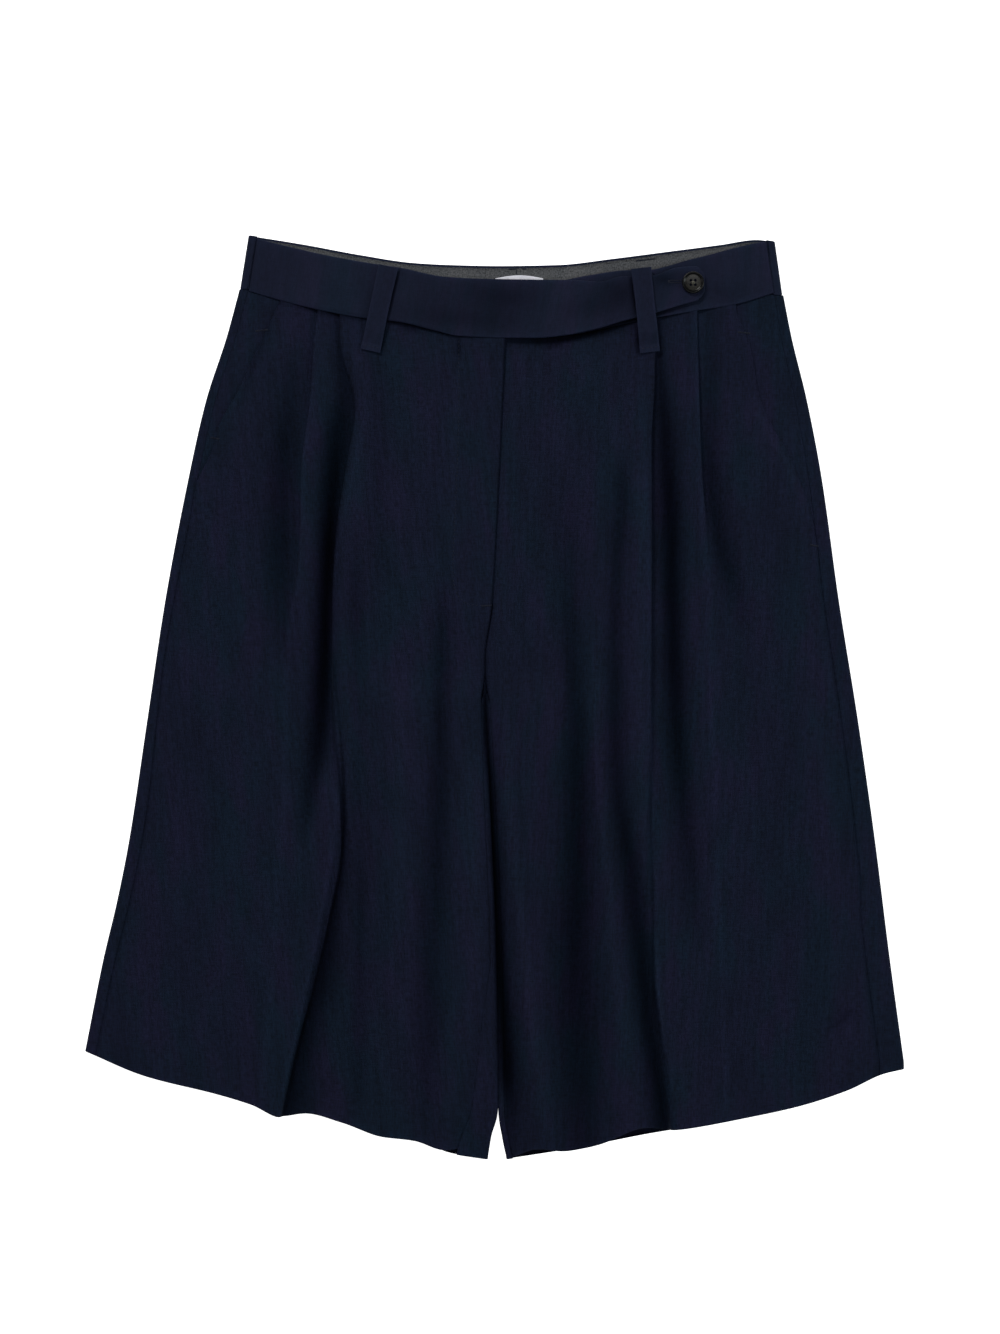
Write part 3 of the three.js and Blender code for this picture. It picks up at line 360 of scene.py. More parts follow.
@dataclass
class Shell:
    """A closed sheet of cloth about a grid of points, with rounded edges.

    The grid is rows by columns by xyz, in mm. `grain` gives each point's place on the flat cloth.
    """

    grid: Array
    thickness: float
    grain: Array
    worn: Array | float = 0.0
    # painted shade: darkening of the colour where shade falls, kept as the mesh attribute shade
    shade: Array | float = 0.0
    rim_angles: tuple[float, ...] = (36.0, 74.0)

    def _rounded(self, points: Array, extra: Array, half: Array) -> tuple[Array, Array, Array]:
        """Rounds the first and last row of the grid.

        Args:
            points: rows of points.
            extra: values that go with each point.
            half: half thickness at each point.

        Returns:
            The three arrays with rim rows added at both ends.
        """
        for _ in range(2):
            outward = unit(points[0] - points[1])
            base = points[0] - outward * half[0][:, None]
            rims, halves = [base], [half[0]]
            for angle in self.rim_angles:
                sine, cosine = math.sin(math.radians(angle)), math.cos(math.radians(angle))
                rims.append(base + outward * half[0][:, None] * sine)
                halves.append(half[0] * cosine)
            points = np.concatenate([rims[::-1], points[1:]])
            half = np.concatenate([halves[::-1], half[1:]])
            extra = np.concatenate([np.repeat(extra[:1], len(rims), axis=0), extra[1:]])
            points, extra, half = points[::-1], extra[::-1], half[::-1]
        return points, extra, half

    @staticmethod
    def _faces(rows: int, columns: int) -> Array:
        """Faces of both sides and the four rims, over the upper points and then the lower ones.

        Args:
            rows: rows of the grid.
            columns: columns of the grid.

        Returns:
            Rows of four corner numbers.
        """
        ids = np.arange(rows * columns).reshape(rows, columns)
        low = ids + rows * columns
        patches = (
            (ids[:-1, :-1], ids[:-1, 1:], ids[1:, 1:], ids[1:, :-1]),
            (low[:-1, :-1], low[1:, :-1], low[1:, 1:], low[:-1, 1:]),
            (low[0, :-1], low[0, 1:], ids[0, 1:], ids[0, :-1]),
            (ids[-1, :-1], ids[-1, 1:], low[-1, 1:], low[-1, :-1]),
            (ids[:-1, 0], ids[1:, 0], low[1:, 0], low[:-1, 0]),
            (low[:-1, -1], low[1:, -1], ids[1:, -1], ids[:-1, -1]),
        )
        return np.concatenate([np.stack([side.ravel() for side in patch], axis=1) for patch in patches])

    def build(self, cut: Cut, material: Material) -> Object:
        """Args:
            cut: names, slot and size of the sheet.
            material: finish of the sheet.

        Returns:
            The mesh object.
        """
        points = self.grid
        shape = points.shape[:2]
        extra = np.concatenate(
            [self.grain, stacked(self.worn + np.zeros(shape), self.shade + np.zeros(shape))], axis=-1)
        points, extra, half = self._rounded(points, extra, np.full(shape, self.thickness / 2))
        swapped = self._rounded(points.swapaxes(0, 1), extra.swapaxes(0, 1), half.swapaxes(0, 1))
        points, extra, half = (part.swapaxes(0, 1) for part in swapped)
        padded = np.pad(points, ((1, 1), (1, 1), (0, 0)), mode="edge")
        across = unit(padded[1:-1, 2:] - points) + unit(points - padded[1:-1, :-2])
        along = padded[2:, 1:-1] - padded[:-2, 1:-1]
        normal = unit(np.cross(across, along))
        sides = [points + normal * half[..., None], points - normal * half[..., None]]
        vertices = np.concatenate([side.reshape(-1, 3) for side in sides]) * MM
        faces = self._faces(*points.shape[:2])
        a, b, c = (vertices[faces[:, k]] for k in (0, 1, 2))
        if np.einsum("ij,ij->i", a, np.cross(b, c)).sum() < 0:
            faces = faces[:, ::-1]
        values = np.tile(extra.reshape(-1, 4), (2, 1))
        made = solid_mesh(cut.name, vertices, faces, values[:, :2] * MM)
        for name, column in (("worn", 2), ("shade", 3)):
            attribute = made.data.attributes.new(name, "FLOAT", "POINT")
            attribute.data.foreach_set("value", np.ascontiguousarray(values[:, column], np.float32))
        place(made, material, cut.slot, cut.node)
        list(cut.rests_on)
        return made


def solid_mesh(name: str, vertices: Array, faces: Array, uv: Array) -> Object:
    """A smooth mesh object with its place on the flat cloth as UV map "cut".

    Args:
        name: object name.
        vertices: corners in metres.
        faces: rows of four corner numbers.
        uv: place on the flat cloth for each corner, in metres.

    Returns:
        The object, linked to the scene.
    """
    mesh = bpy.data.meshes.new(name)
    mesh.vertices.add(len(vertices))
    mesh.vertices.foreach_set("co", vertices.astype(np.float32).ravel())
    mesh.loops.add(faces.size)
    mesh.loops.foreach_set("vertex_index", faces.astype(np.int32).ravel())
    mesh.polygons.add(len(faces))
    mesh.polygons.foreach_set("loop_start", np.arange(0, faces.size, 4, dtype=np.int32))
    layer = mesh.uv_layers.new(name="cut")
    layer.data.foreach_set("uv", uv[faces.ravel()].astype(np.float32).ravel())
    mesh.update(calc_edges=True)
    mesh.validate()
    mesh.shade_smooth()
    return linked(name, mesh)


@dataclass(frozen=True)
class Layout:
    """Edges that several pieces share."""

    front_waist: Curve
    back_top: Curve
    centre_front: Curve
    tab_lower: Curve
    legs_meet: Curve

    def back_waist(self, x: Array | float) -> Array:
        """Lower edge of the back band."""
        return self.back_top(x) - BAND_HEIGHT

    def centre_back(self, y: Array) -> Array:
        """The seat seam, from the middle of the back band to the crotch."""
        t = np.clip((y - CROTCH_Y) / (self.back_waist(BACK_CENTRE_X) - CROTCH_Y), 0, 1)
        return mix(self.centre_front(CROTCH_Y), BACK_CENTRE_X, t)

    @staticmethod
    def loop_lift(y: Array | float) -> Array:
        """How far the loops underneath lift the cloth near the band."""
        return LOOP_LIFT * smoothstep(y, LOOP_LIFT_FROM, LOOP_LIFT_TO)


@dataclass(frozen=True)
class Leg:
    """Curves and cross-sections of one leg. Across it, w grows inwards, which is `inward` in x."""

    layout: Layout
    inward: int
    grain_lean: float  # slant of the grain
    pocket_end: float
    outline: Curve
    seam_inset: Curve
    pocket: Curve
    inner_outline: Curve
    inseam_inset: Curve
    hem: Curve
    inner_height: Curve
    swell: Swell
    outer_pleat: Pleat
    inner_pleat: Pleat
    soft_folds: tuple[SoftFold, ...]

    def side_seam(self, y: Array) -> Array:
        """The side seam on top, where the wrapped back meets the front."""
        return self.outline(y) + self.inward * self.seam_inset(y)

    def inner_leg(self, y: Array) -> Array:
        """The leg's inner outline: the legs lie against each other down to the notch at the hem."""
        apart = 1 - smoothstep(y, NOTCH_FOOT, NOTCH_TOP)
        return mix(self.layout.legs_meet(y) + self.inward * LEGS_PRESS, self.inner_outline(y), apart)

    def seam_height(self, y: Array) -> Array:
        """Height of the cloth's middle along the side seam."""
        return CLOTH / 2 + 2 * SIDE_FOLD_RADIUS + self.layout.loop_lift(y)

    def leg_share(self, y: Array) -> Array:
        """0 above the crotch and 1 below it."""
        return 1 - smoothstep(y, CROTCH_Y - CROTCH_BLEND, CROTCH_Y + CROTCH_BLEND)

    def fold_over(self, pleat: Pleat, y: Array, steps: int) -> tuple[Array, Array]:
        """One pleat's section at each y: a turn, a straight run and a turn back.

        Args:
            pleat: the outer or the inner pleat.
            y: heights on the leg.
            steps: steps in each bend and in the run.

        Returns:
            w and z, each with a row for each y.
        """
        turn = np.radians(pleat.turn(y))
        moves = [(PLEAT_BEND / steps, turn / steps)] * steps
        moves += [(pleat.run(y) / steps, 0.0)] * steps
        moves += [(PLEAT_BEND / steps, -turn / steps)] * steps
        w, z, _ = walk(moves, np.radians(pleat.lean(y)))
        opens_outward = smoothstep(turn, math.radians(-20), math.radians(20))
        crest = mix(w[steps // 2], w[-1 - steps // 2], opens_outward)
        shift = self.inward * pleat.x(y) - crest
        start = pleat.start(y)
        return np.stack([v + shift for v in w], axis=1), np.stack([v + start for v in z], axis=1)

    def front_edges(self, y: Array) -> tuple[tuple[Array, Array], tuple[Array, Array]]:
        """Places the two edges of the front.

        Args:
            y: heights on the leg.

        Returns:
            w and z of the outer edge, and of the inner one.
        """
        end = self.pocket_end
        outer_x = np.where(y > end, self.pocket(y), self.side_seam(y) + self.inward * TOUCH)
        over_facing = CLOTH + SEAM_GAP + 0.1
        outer_z = self.seam_height(y) + over_facing * smoothstep(y, end - 24, end - 8)
        share = self.leg_share(y)
        lap = smoothstep(y, FLY_END_Y, FLY_END_Y + 14) if self.inward < 0 else 0.0
        upper = self.inward * self.layout.centre_front(y) + mix(-TOUCH, FLY_UNDERLAP, lap)
        lower = self.inward * self.inner_leg(y) - SHEER / 2 - LEG_FOLD_RADIUS
        lower = lower - self.inseam_inset(y) - TOUCH
        ease = CROTCH_EASE * 4 * share * (1 - share)
        return (self.inward * outer_x, outer_z), (mix(upper, lower, share) - ease, self.inner_height(y))


class Bridge(NamedTuple):
    """Where a stretch of cloth starts or ends at each height: w, z and its heading in radians."""

    w: Array
    z: Array
    heading: Array | float

    def to(self, end: "Bridge", steps: int, swell: Array | float) -> tuple[Array, Array]:
        """Cloth from here to another place, without its end points.

        Args:
            end: where it ends.
            steps: steps between the two.
            swell: how far the middle swells up.

        Returns:
            w and z, each with a row for each height.
        """
        length = np.hypot(end.w - self.w, end.z - self.z)
        w, z = [], []
        for i in range(1, steps):
            t = i / steps
            a, b = t * (1 - t) ** 2 * length, t * t * (1 - t) * length
            s = t * t * (3 - 2 * t)
            w.append(mix(self.w, end.w, s) + a * np.cos(self.heading) - b * np.cos(end.heading))
            rise = mix(self.z, end.z, s) + a * np.sin(self.heading) - b * np.sin(end.heading)
            z.append(rise + swell * math.sin(math.pi * t) ** 2)
        return np.stack(w, axis=1), np.stack(z, axis=1)


@dataclass(frozen=True)
class PanelRows:
    """Rows of a panel's mesh: down to the crotch, past it and on to the hem."""

    upper: int = 76
    crotch: int = 10
    lower: int = 92

    def heights(self, row: Array, waist: Array | float, hem: Array | float) -> Array:
        """Spreads rows between a panel's upper and lower edge.

        Args:
            row: row numbers.
            waist: y of the upper edge.
            hem: y of the lower edge.

        Returns:
            y of each row.
        """
        top, foot = CROTCH_Y + CROTCH_BLEND, CROTCH_Y - CROTCH_BLEND
        above = mix(waist, top, row / self.upper)
        past = mix(top, foot, (row - self.upper) / self.crotch)
        below = mix(foot, hem, (row - self.upper - self.crotch) / self.lower)
        return np.where(row <= self.upper, above, np.where(row <= self.upper + self.crotch, past, below))


@dataclass(frozen=True)
class Dress:
    """What a shown panel adds to its solid: finer folds, dents, a lifted hem and painted shade along folds,
    in lines and on the hem.
    """

    folds: tuple[SoftFold, ...] = ()
    wrinkles: tuple[Wrinkle, ...] = ()
    reveals: tuple[Reveal, ...] = ()
    # painted shade along folds, in fine lines where shade falls, and painted shadow on the back's hem under
    # the front's
    shades: tuple[FoldShade, ...] = ()
    painted_shade_lines: tuple[Wrinkle, ...] = ()
    hem_shades: tuple[Wrinkle, ...] = ()


@dataclass
class Panel:
    """A trouser panel whose cross-section is known at every height."""

    leg: Leg
    cut: Cut
    dress: Dress
    rows: PanelRows = PanelRows()

    def section(self, y: Array) -> tuple[Array, Array]:
        """Cross-section at each y, as x and z with a row for each y."""
        raise NotImplementedError

    def waist(self, x: Array) -> Array:
        """Upper edge of the panel."""
        raise NotImplementedError

    def finished(self, grid: Array) -> tuple[Array, Array, Array]:
        """The grid with its dents, its handled places and the light left by its painted shade."""
        raise NotImplementedError

    def hem(self, x: Array) -> Array:
        """The hem, lifted where the other panel's hem shows below it."""
        return self.leg.hem(x) + sum(r.rise * bell(x - r.x, r.width) for r in self.dress.reveals)

    def grid(self) -> Array:
        """Points of the panel's middle surface, each settled on its own height."""
        lattice = np.arange(-312.0, 285.0, 1.0)
        xs, zs = self.section(lattice)
        row = np.arange(self.rows.upper + self.rows.crotch + self.rows.lower + 1)
        columns = []
        for column in range(xs.shape[1]):
            y = self.rows.heights(row, self.waist(0.0), self.hem(0.0))
            for _ in range(8):
                x = np.interp(y, lattice, xs[:, column])
                y = self.rows.heights(row, self.waist(x), self.hem(x))
            x = np.interp(y, lattice, xs[:, column])
            columns.append(stacked(x, y, np.interp(y, lattice, zs[:, column])))
        return np.stack(columns, axis=1)

    def fold_light(self, x: Array, y: Array, shown: Array | float = 1.0) -> Array:
        """Light left by the painted shade along the folds, where it shows."""
        kept = np.ones(x.shape)
        for shade in self.dress.shades:
            kept = kept * shade.light(x, y)
        return 1 - (1 - kept) * shown

    def seam_light(self, grid: Array, column: int, dark: Curve) -> Array:
        """Light left by painted shade in the groove of a seam.

        Args:
            grid: middle surface.
            column: the edge that is sewn, 0 or -1.
            dark: how dark the groove is along the leg.

        Returns:
            Light at each point.
        """
        away = np.abs(grid[..., 0] - grid[:, column, 0][:, None])
        return 1 - dark(grid[:, 0, 1])[:, None] * bell(away, SEAM_REACH)

    def build(self, material: Material) -> Object:
        """Makes the shown panel, whose grain leans a little with the leg.

        Args:
            material: its finish.

        Returns:
            The mesh object.
        """
        grid, worn, light = self.finished(self.grid())
        x, y = grid[..., 0], grid[..., 1]
        grain = stacked(x + self.leg.grain_lean * y, y)
        return Shell(grid, SHEER, grain, worn, 1 - light).build(self.cut, material)


@dataclass
class FrontPanel(Panel):
    """A trouser front: two pleats, a pressed crease and the soft folds that run down from them."""

    outer: int = 40  # steps to the first pleat
    bend: int = 7
    between: int = 16
    inner: int = 84
    fold_gain: float = 1.35  # the shown folds are a little deeper than the solid's

    def waist(self, x: Array) -> Array:
        """The waist seam."""
        return self.leg.layout.front_waist(x) - TOUCH

    def section(self, y: Array) -> tuple[Array, Array]:
        """Cross-section from the outer edge, over both pleats, to the inner edge.

        Args:
            y: heights on the leg.

        Returns:
            x and z with a row for each y.
        """
        leg = self.leg
        outer_edge, inner_edge = leg.front_edges(y)
        first = leg.fold_over(leg.outer_pleat, y, self.bend)
        second = leg.fold_over(leg.inner_pleat, y, self.bend)
        ends = [Bridge(*outer_edge, math.radians(4))]
        for (w, z), pleat in ((first, leg.outer_pleat), (second, leg.inner_pleat)):
            ends += [Bridge(w[:, i], z[:, i], np.radians(pleat.lean(y))) for i in (0, -1)]
        ends.append(Bridge(*inner_edge, np.radians(-24 * leg.leg_share(y))))
        outer = ends[0].to(ends[1], self.outer, leg.swell.outer(y))
        between = ends[2].to(ends[3], self.between, 0)
        inner = ends[4].to(ends[5], self.inner, leg.swell.inner(y))
        edges = [[v[:, None] for v in edge] for edge in (outer_edge, inner_edge)]
        parts = (edges[0], outer, first, between, second, inner, edges[1])
        w, z = (np.concatenate([part[axis] for part in parts], axis=1) for axis in (0, 1))
        x = leg.inward * w
        near_edge = smoothstep(np.abs(w - inner_edge[0][:, None]), 0, 14)
        soft = 0
        for fold in leg.soft_folds + self.dress.folds:
            soft = soft + fold.rise(y)[:, None] * bell(x - fold.x(y)[:, None], fold.width)
        return x, z + self.fold_gain * soft * near_edge

    def finished(self, grid: Array) -> tuple[Array, Array, Array]:
        """Adds the dents, held at nothing along the edges, the handling of crests and hem, and the painted
        shade.

        Args:
            grid: middle surface.

        Returns:
            The dented grid, the share of handling and the light left by the painted shade.
        """
        x, y = grid[..., 0], grid[..., 1]
        down, over = (np.minimum(np.arange(n), np.arange(n)[::-1]) for n in x.shape)
        raised = sum(dent.lift(x, y) for dent in self.dress.wrinkles)
        grid[..., 2] += raised * smoothstep(down[:, None], 0, 4) * smoothstep(over[None, :], 0, 6)
        worn = bell(np.abs(y - y[-1:]), EDGE_WEAR)
        half = self.bend // 2 + 1
        for column in (self.outer + 2 * self.bend + half, self.outer + 3 * self.bend + self.between + half):
            worn = np.maximum(worn, bell(np.abs(x - x[:, column:column + 1]), EDGE_WEAR))
        light = self.seam_light(grid, 0, SIDE_SEAM_SHADE) * self.seam_light(grid, -1, INNER_SEAM_SHADE)
        light = self.fold_light(x, y) * light
        return grid, worn, light * painted_shade_light(self.dress.painted_shade_lines, x, y)


@dataclass
class BackPanel(Panel):
    """A trouser back, flat on the surface, round the outer fold and, below the crotch, the inner one."""

    wrap: int = 8  # steps from the side seam to the outer fold
    turn: int = 12
    flat: int = 70
    roll: int = 12

    def waist(self, x: Array) -> Array:
        """The waist seam of the back."""
        return self.leg.layout.back_waist(x) - TOUCH

    def rolled_end(self, y: Array) -> tuple[Array, Array, Array]:
        """The inner end: it curls up by an angle and runs straight on.

        Args:
            y: heights on the leg.

        Returns:
            w, z and the furthest reach of the cloth, with a row for each y.
        """
        angle = math.pi * self.leg.leg_share(y)
        moves = [(math.pi * LEG_FOLD_RADIUS / self.roll, angle / self.roll)] * self.roll
        moves += [(self.leg.inseam_inset(y) / self.wrap, 0.0)] * self.wrap
        w, z, headings = walk(moves, np.zeros_like(y))
        reach = [at + SHEER / 2 * np.abs(np.sin(heading)) for at, heading in zip(w[1:], headings)]
        return np.stack(w[1:], axis=1), np.stack(z[1:], axis=1), np.max(reach, axis=0)

    def section(self, y: Array) -> tuple[Array, Array]:
        """Cross-section from the side seam on top, round the outer fold, to the inner end.

        Args:
            y: heights on the leg.

        Returns:
            x and z with a row for each y.
        """
        leg = self.leg
        rest = CLOTH / 2 + self.leg.layout.loop_lift(y)
        seam_w = leg.inward * leg.side_seam(y)
        centre_w = leg.inward * leg.outline(y) + SHEER / 2 + SIDE_FOLD_RADIUS
        path = [(mix(seam_w, centre_w, i / self.wrap), leg.seam_height(y)) for i in range(self.wrap)]
        for i in range(self.turn + 1):
            angle = math.pi / 2 + math.pi * i / self.turn
            path.append((centre_w + SIDE_FOLD_RADIUS * math.cos(angle),
                         rest + SIDE_FOLD_RADIUS * (1 + math.sin(angle))))
        share = leg.leg_share(y)
        roll_w, roll_z, reach = self.rolled_end(y)
        limit = leg.inward * mix(self.leg.layout.centre_back(y), leg.inner_leg(y), share)
        start = limit - TOUCH * (1 - share) + CROTCH_PRESS * 4 * share * (1 - share) - reach
        path += [(mix(centre_w, start, i / self.flat), rest) for i in range(1, self.flat + 1)]
        flat_w, flat_z = (np.stack([point[axis] for point in path], axis=1) for axis in (0, 1))
        w = np.concatenate([flat_w, start[:, None] + roll_w], axis=1)
        return leg.inward * w, np.concatenate([flat_z, rest[:, None] + roll_z], axis=1)

    def finished(self, grid: Array) -> tuple[Array, Array, Array]:
        """Presses the flat part up a little, paints shade on what shows on top, and paints shadow on the
        back's hem where it shows below the front.

        Args:
            grid: middle surface.

        Returns:
            The dented grid, the share of handling and the light left by the painted shade.
        """
        x, y = grid[..., 0], grid[..., 1]
        column = np.arange(grid.shape[1])
        first = self.wrap + self.turn
        last = first + self.flat
        flat_share = smoothstep(column, first, first + 6) * (1 - smoothstep(column, last - 6, last))
        grid[..., 2] += sum(dent.lift(x, y) for dent in self.dress.wrinkles) * flat_share[None, :]
        worn = bell(np.abs(y - y[-1:, :]), EDGE_WEAR)
        on_top = grid[..., 2] > self.leg.seam_height(y) - 1.2
        light = self.fold_light(x, y, on_top) * self.seam_light(grid, 0, SIDE_SEAM_SHADE)
        light = light * painted_shade_light(self.dress.painted_shade_lines, x, y, on_top)
        return grid, worn, light * painted_shade_light(self.dress.hem_shades, x, y, ~on_top)


@dataclass
class PocketFacing:
    """The hip piece that shows in the pocket's slant and carries on under the front.

    `share` is how far down to the crotch it reaches.
    """

    leg: Leg
    cut: Cut
    share: float
    hidden_width: float = 20.0
    across: int = 16
    down: int = 60

    def _place_x(self, y: Array) -> Array:
        """x of each column at y."""
        outer = self.leg.side_seam(y) + self.leg.inward * TOUCH
        inner = self.leg.pocket(y) + self.leg.inward * self.hidden_width
        return mix(outer, inner, np.linspace(0, 1, self.across + 1)[None, :])

    def build(self, material: Material) -> Object:
        """Makes the shown piece in the suiting finish.

        Args:
            material: its finish.

        Returns:
            The mesh object.
        """
        down = np.linspace(0, self.share, self.down + 1)[:, None]
        y = np.full((self.down + 1, self.across + 1), 250.0)
        for _ in range(10):
            x = self._place_x(y)
            seam_y = mix(self.leg.layout.back_waist(x), CROTCH_Y + CROTCH_BLEND, down)
            y = np.minimum(seam_y, self.leg.layout.front_waist(x) - TOUCH)
        x = self._place_x(y)
        grid = stacked(x, y, self.leg.seam_height(y))
        return Shell(grid, SHEER, stacked(x, y)).build(self.cut, material)


def band_shares(along: int, up: int) -> tuple[Array, Array]:
    """Shares along and up a strip, as arrays that broadcast."""
    return np.linspace(0, 1, along + 1)[None, :], np.linspace(0, 1, up + 1)[:, None]


@dataclass
class Waistband:
    """The waistband: two front bands, the back band, its facing and the label."""

    layout: Layout
    right: FrontBand
    left: FrontBand
    thickness: float = 1.5
    trim: float = 0.6
    side_right: Point = (-167.6, -162.0)  # outer edge at the seam and at the top
    side_left: Point = (189.6, 184.6)
    left_start: float = -26.0
    tab_start: float = 51.8
    tab_end: float = 138.0
    tab_rounding: float = 5.0
    wall: float = 2.0  # wall of the solid bands
    facing: Point = (-151.0, 175.0)
    facing_inset: Point = (1.0, 1.7)  # at its lower and upper edge
    label: Point = (0.6, 32.0)
    label_low: float = 258.0
    label_shoulder: float = 275.6
    label_crown: float = 277.6
    worn_reach: float = 1.8

    def _sheet(
        self, cut: Cut, grid: Array, thickness: float, material: Material, shades: tuple[Wrinkle, ...] = (),
    ) -> Object:
        """Builds one piece of the band.

        Args:
            cut: names, slot and size of the piece.
            grid: middle surface.
            thickness: shown thickness.
            material: finish.
            shades: lines of painted shade on the piece, such as along the loops' edges and under the tab.

        Returns:
            The mesh object.
        """
        steps = np.linalg.norm(np.diff(grid, axis=1), axis=2)
        along = np.concatenate([np.zeros((len(grid), 1)), np.cumsum(steps, axis=1)], axis=1)
        grain = stacked(along, np.linspace(0, 1, len(grid))[:, None] * BAND_HEIGHT)
        x, y = grid[..., 0], grid[..., 1]
        worn = np.maximum(bell(y - y[:1], self.worn_reach), bell(y - y[-1:], self.worn_reach))
        return Shell(grid, thickness, grain, worn, 1 - painted_shade_light(shades, x, y)).build(cut, material)

    def _front(self, band: FrontBand, x: Array, low: Array, up: Array, dents: tuple[Wrinkle, ...]) -> Array:
        """Middle surface of a front band.

        Args:
            band: upper edge and heights along the band.
            x: places along it.
            low: its lower edge there.
            up: share of its height.
            dents: soft dents of the pressed band.

        Returns:
            Grid of points.
        """
        y = mix(low + TOUCH, band.top(x), up)
        z = mix(band.z_low(x), band.z_top(x), up)
        swell = 0.25 * np.sin(math.pi * up) ** 0.6
        return stacked(x, y, z + swell + sum(dent.lift(x, y) for dent in dents))

    def front_right(self) -> Array:
        """The wearer's right front band, which ends in the tab."""
        share, up = band_shares(200, 22)
        start = mix(*self.side_right, up) + BAND_WRAP + TOUCH
        x = mix(start, self.tab_end - self.tab_rounding * (2 * up - 1) ** 4, share)
        low = np.where(x < self.tab_start, self.layout.front_waist(x), self.layout.tab_lower(x))
        return self._front(self.right, x, low, up, RIGHT_BAND_DENTS)

    def front_left(self) -> Array:
        """The wearer's left front band, under the tab."""
        share, up = band_shares(200, 22)
        x = mix(self.left_start + 0 * up, mix(*self.side_left, up) - BAND_WRAP - TOUCH, share)
        return self._front(self.left, x, self.layout.front_waist(x), up, LEFT_BAND_DENTS)

    def back(self) -> Array:
        """Middle surface of the back band, which comes round both sides onto the front."""
        rest, r, up = self.wall / 2 + LOOP_LIFT, BAND_FOLD_RADIUS, np.linspace(0, 1, 19)
        right = mix(*self.side_right, up) + self.wall / 2
        left = mix(*self.side_left, up) - self.wall / 2
        path = [(mix(right - self.wall / 2 + BAND_WRAP, right + r, i / 6), rest + 2 * r) for i in range(6)]
        for angle in np.linspace(math.pi / 2, 1.5 * math.pi, 15):
            path.append((right + r + r * math.cos(angle), rest + r + r * math.sin(angle)))
        for i in range(1, 160):
            path.append((mix(right + r, left - r, i / 160), rest))
        for angle in np.linspace(-math.pi / 2, math.pi / 2, 15):
            path.append((left - r + r * math.cos(angle), rest + r + r * math.sin(angle)))
        wrapped = left + self.wall / 2 - BAND_WRAP
        path += [(mix(left - r, wrapped, i / 6), rest + 2 * r) for i in range(1, 7)]
        x = np.stack([point[0] for point in path], axis=1)
        y = mix(self.layout.back_waist(x) + TOUCH, self.layout.back_top(x), up[:, None])
        return stacked(x, y, np.array([point[1] for point in path])[None, :])

    def build(self, finishes: "Wardrobe") -> list[Object]:
        """Makes the bands, the facing and the label.

        Args:
            finishes: materials of the garment.

        Returns:
            The mesh objects.
        """
        facing_z = LOOP_LIFT + self.wall + SEAM_GAP + 0.5
        share, up = band_shares(150, 14)
        x = mix(*self.facing, share)
        low = self.layout.back_waist(x) + self.facing_inset[0]
        high = self.layout.back_top(x) - self.facing_inset[1]
        facing = stacked(x, mix(low, high, up), facing_z)
        share, up = band_shares(30, 16)
        arch = mix(self.label_shoulder, self.label_crown, np.sin(math.pi * share))
        sag = 0.15 * np.sin(math.pi * share)
        label = stacked(mix(*self.label, share), mix(self.label_low, arch, up), facing_z + 1.3 + sag)
        band = finishes.waistband
        return [
            self._sheet(BACK_BAND, self.back(), self.thickness, band),
            self._sheet(BAND_FACING, facing, self.trim, finishes.facing),
            self._sheet(LABEL, label, self.trim, finishes.label),
            self._sheet(LEFT_BAND, self.front_left(), self.thickness, band, LEFT_BAND_SHADES),
            self._sheet(RIGHT_BAND, self.front_right(), self.thickness, band, RIGHT_BAND_SHADES),
        ]


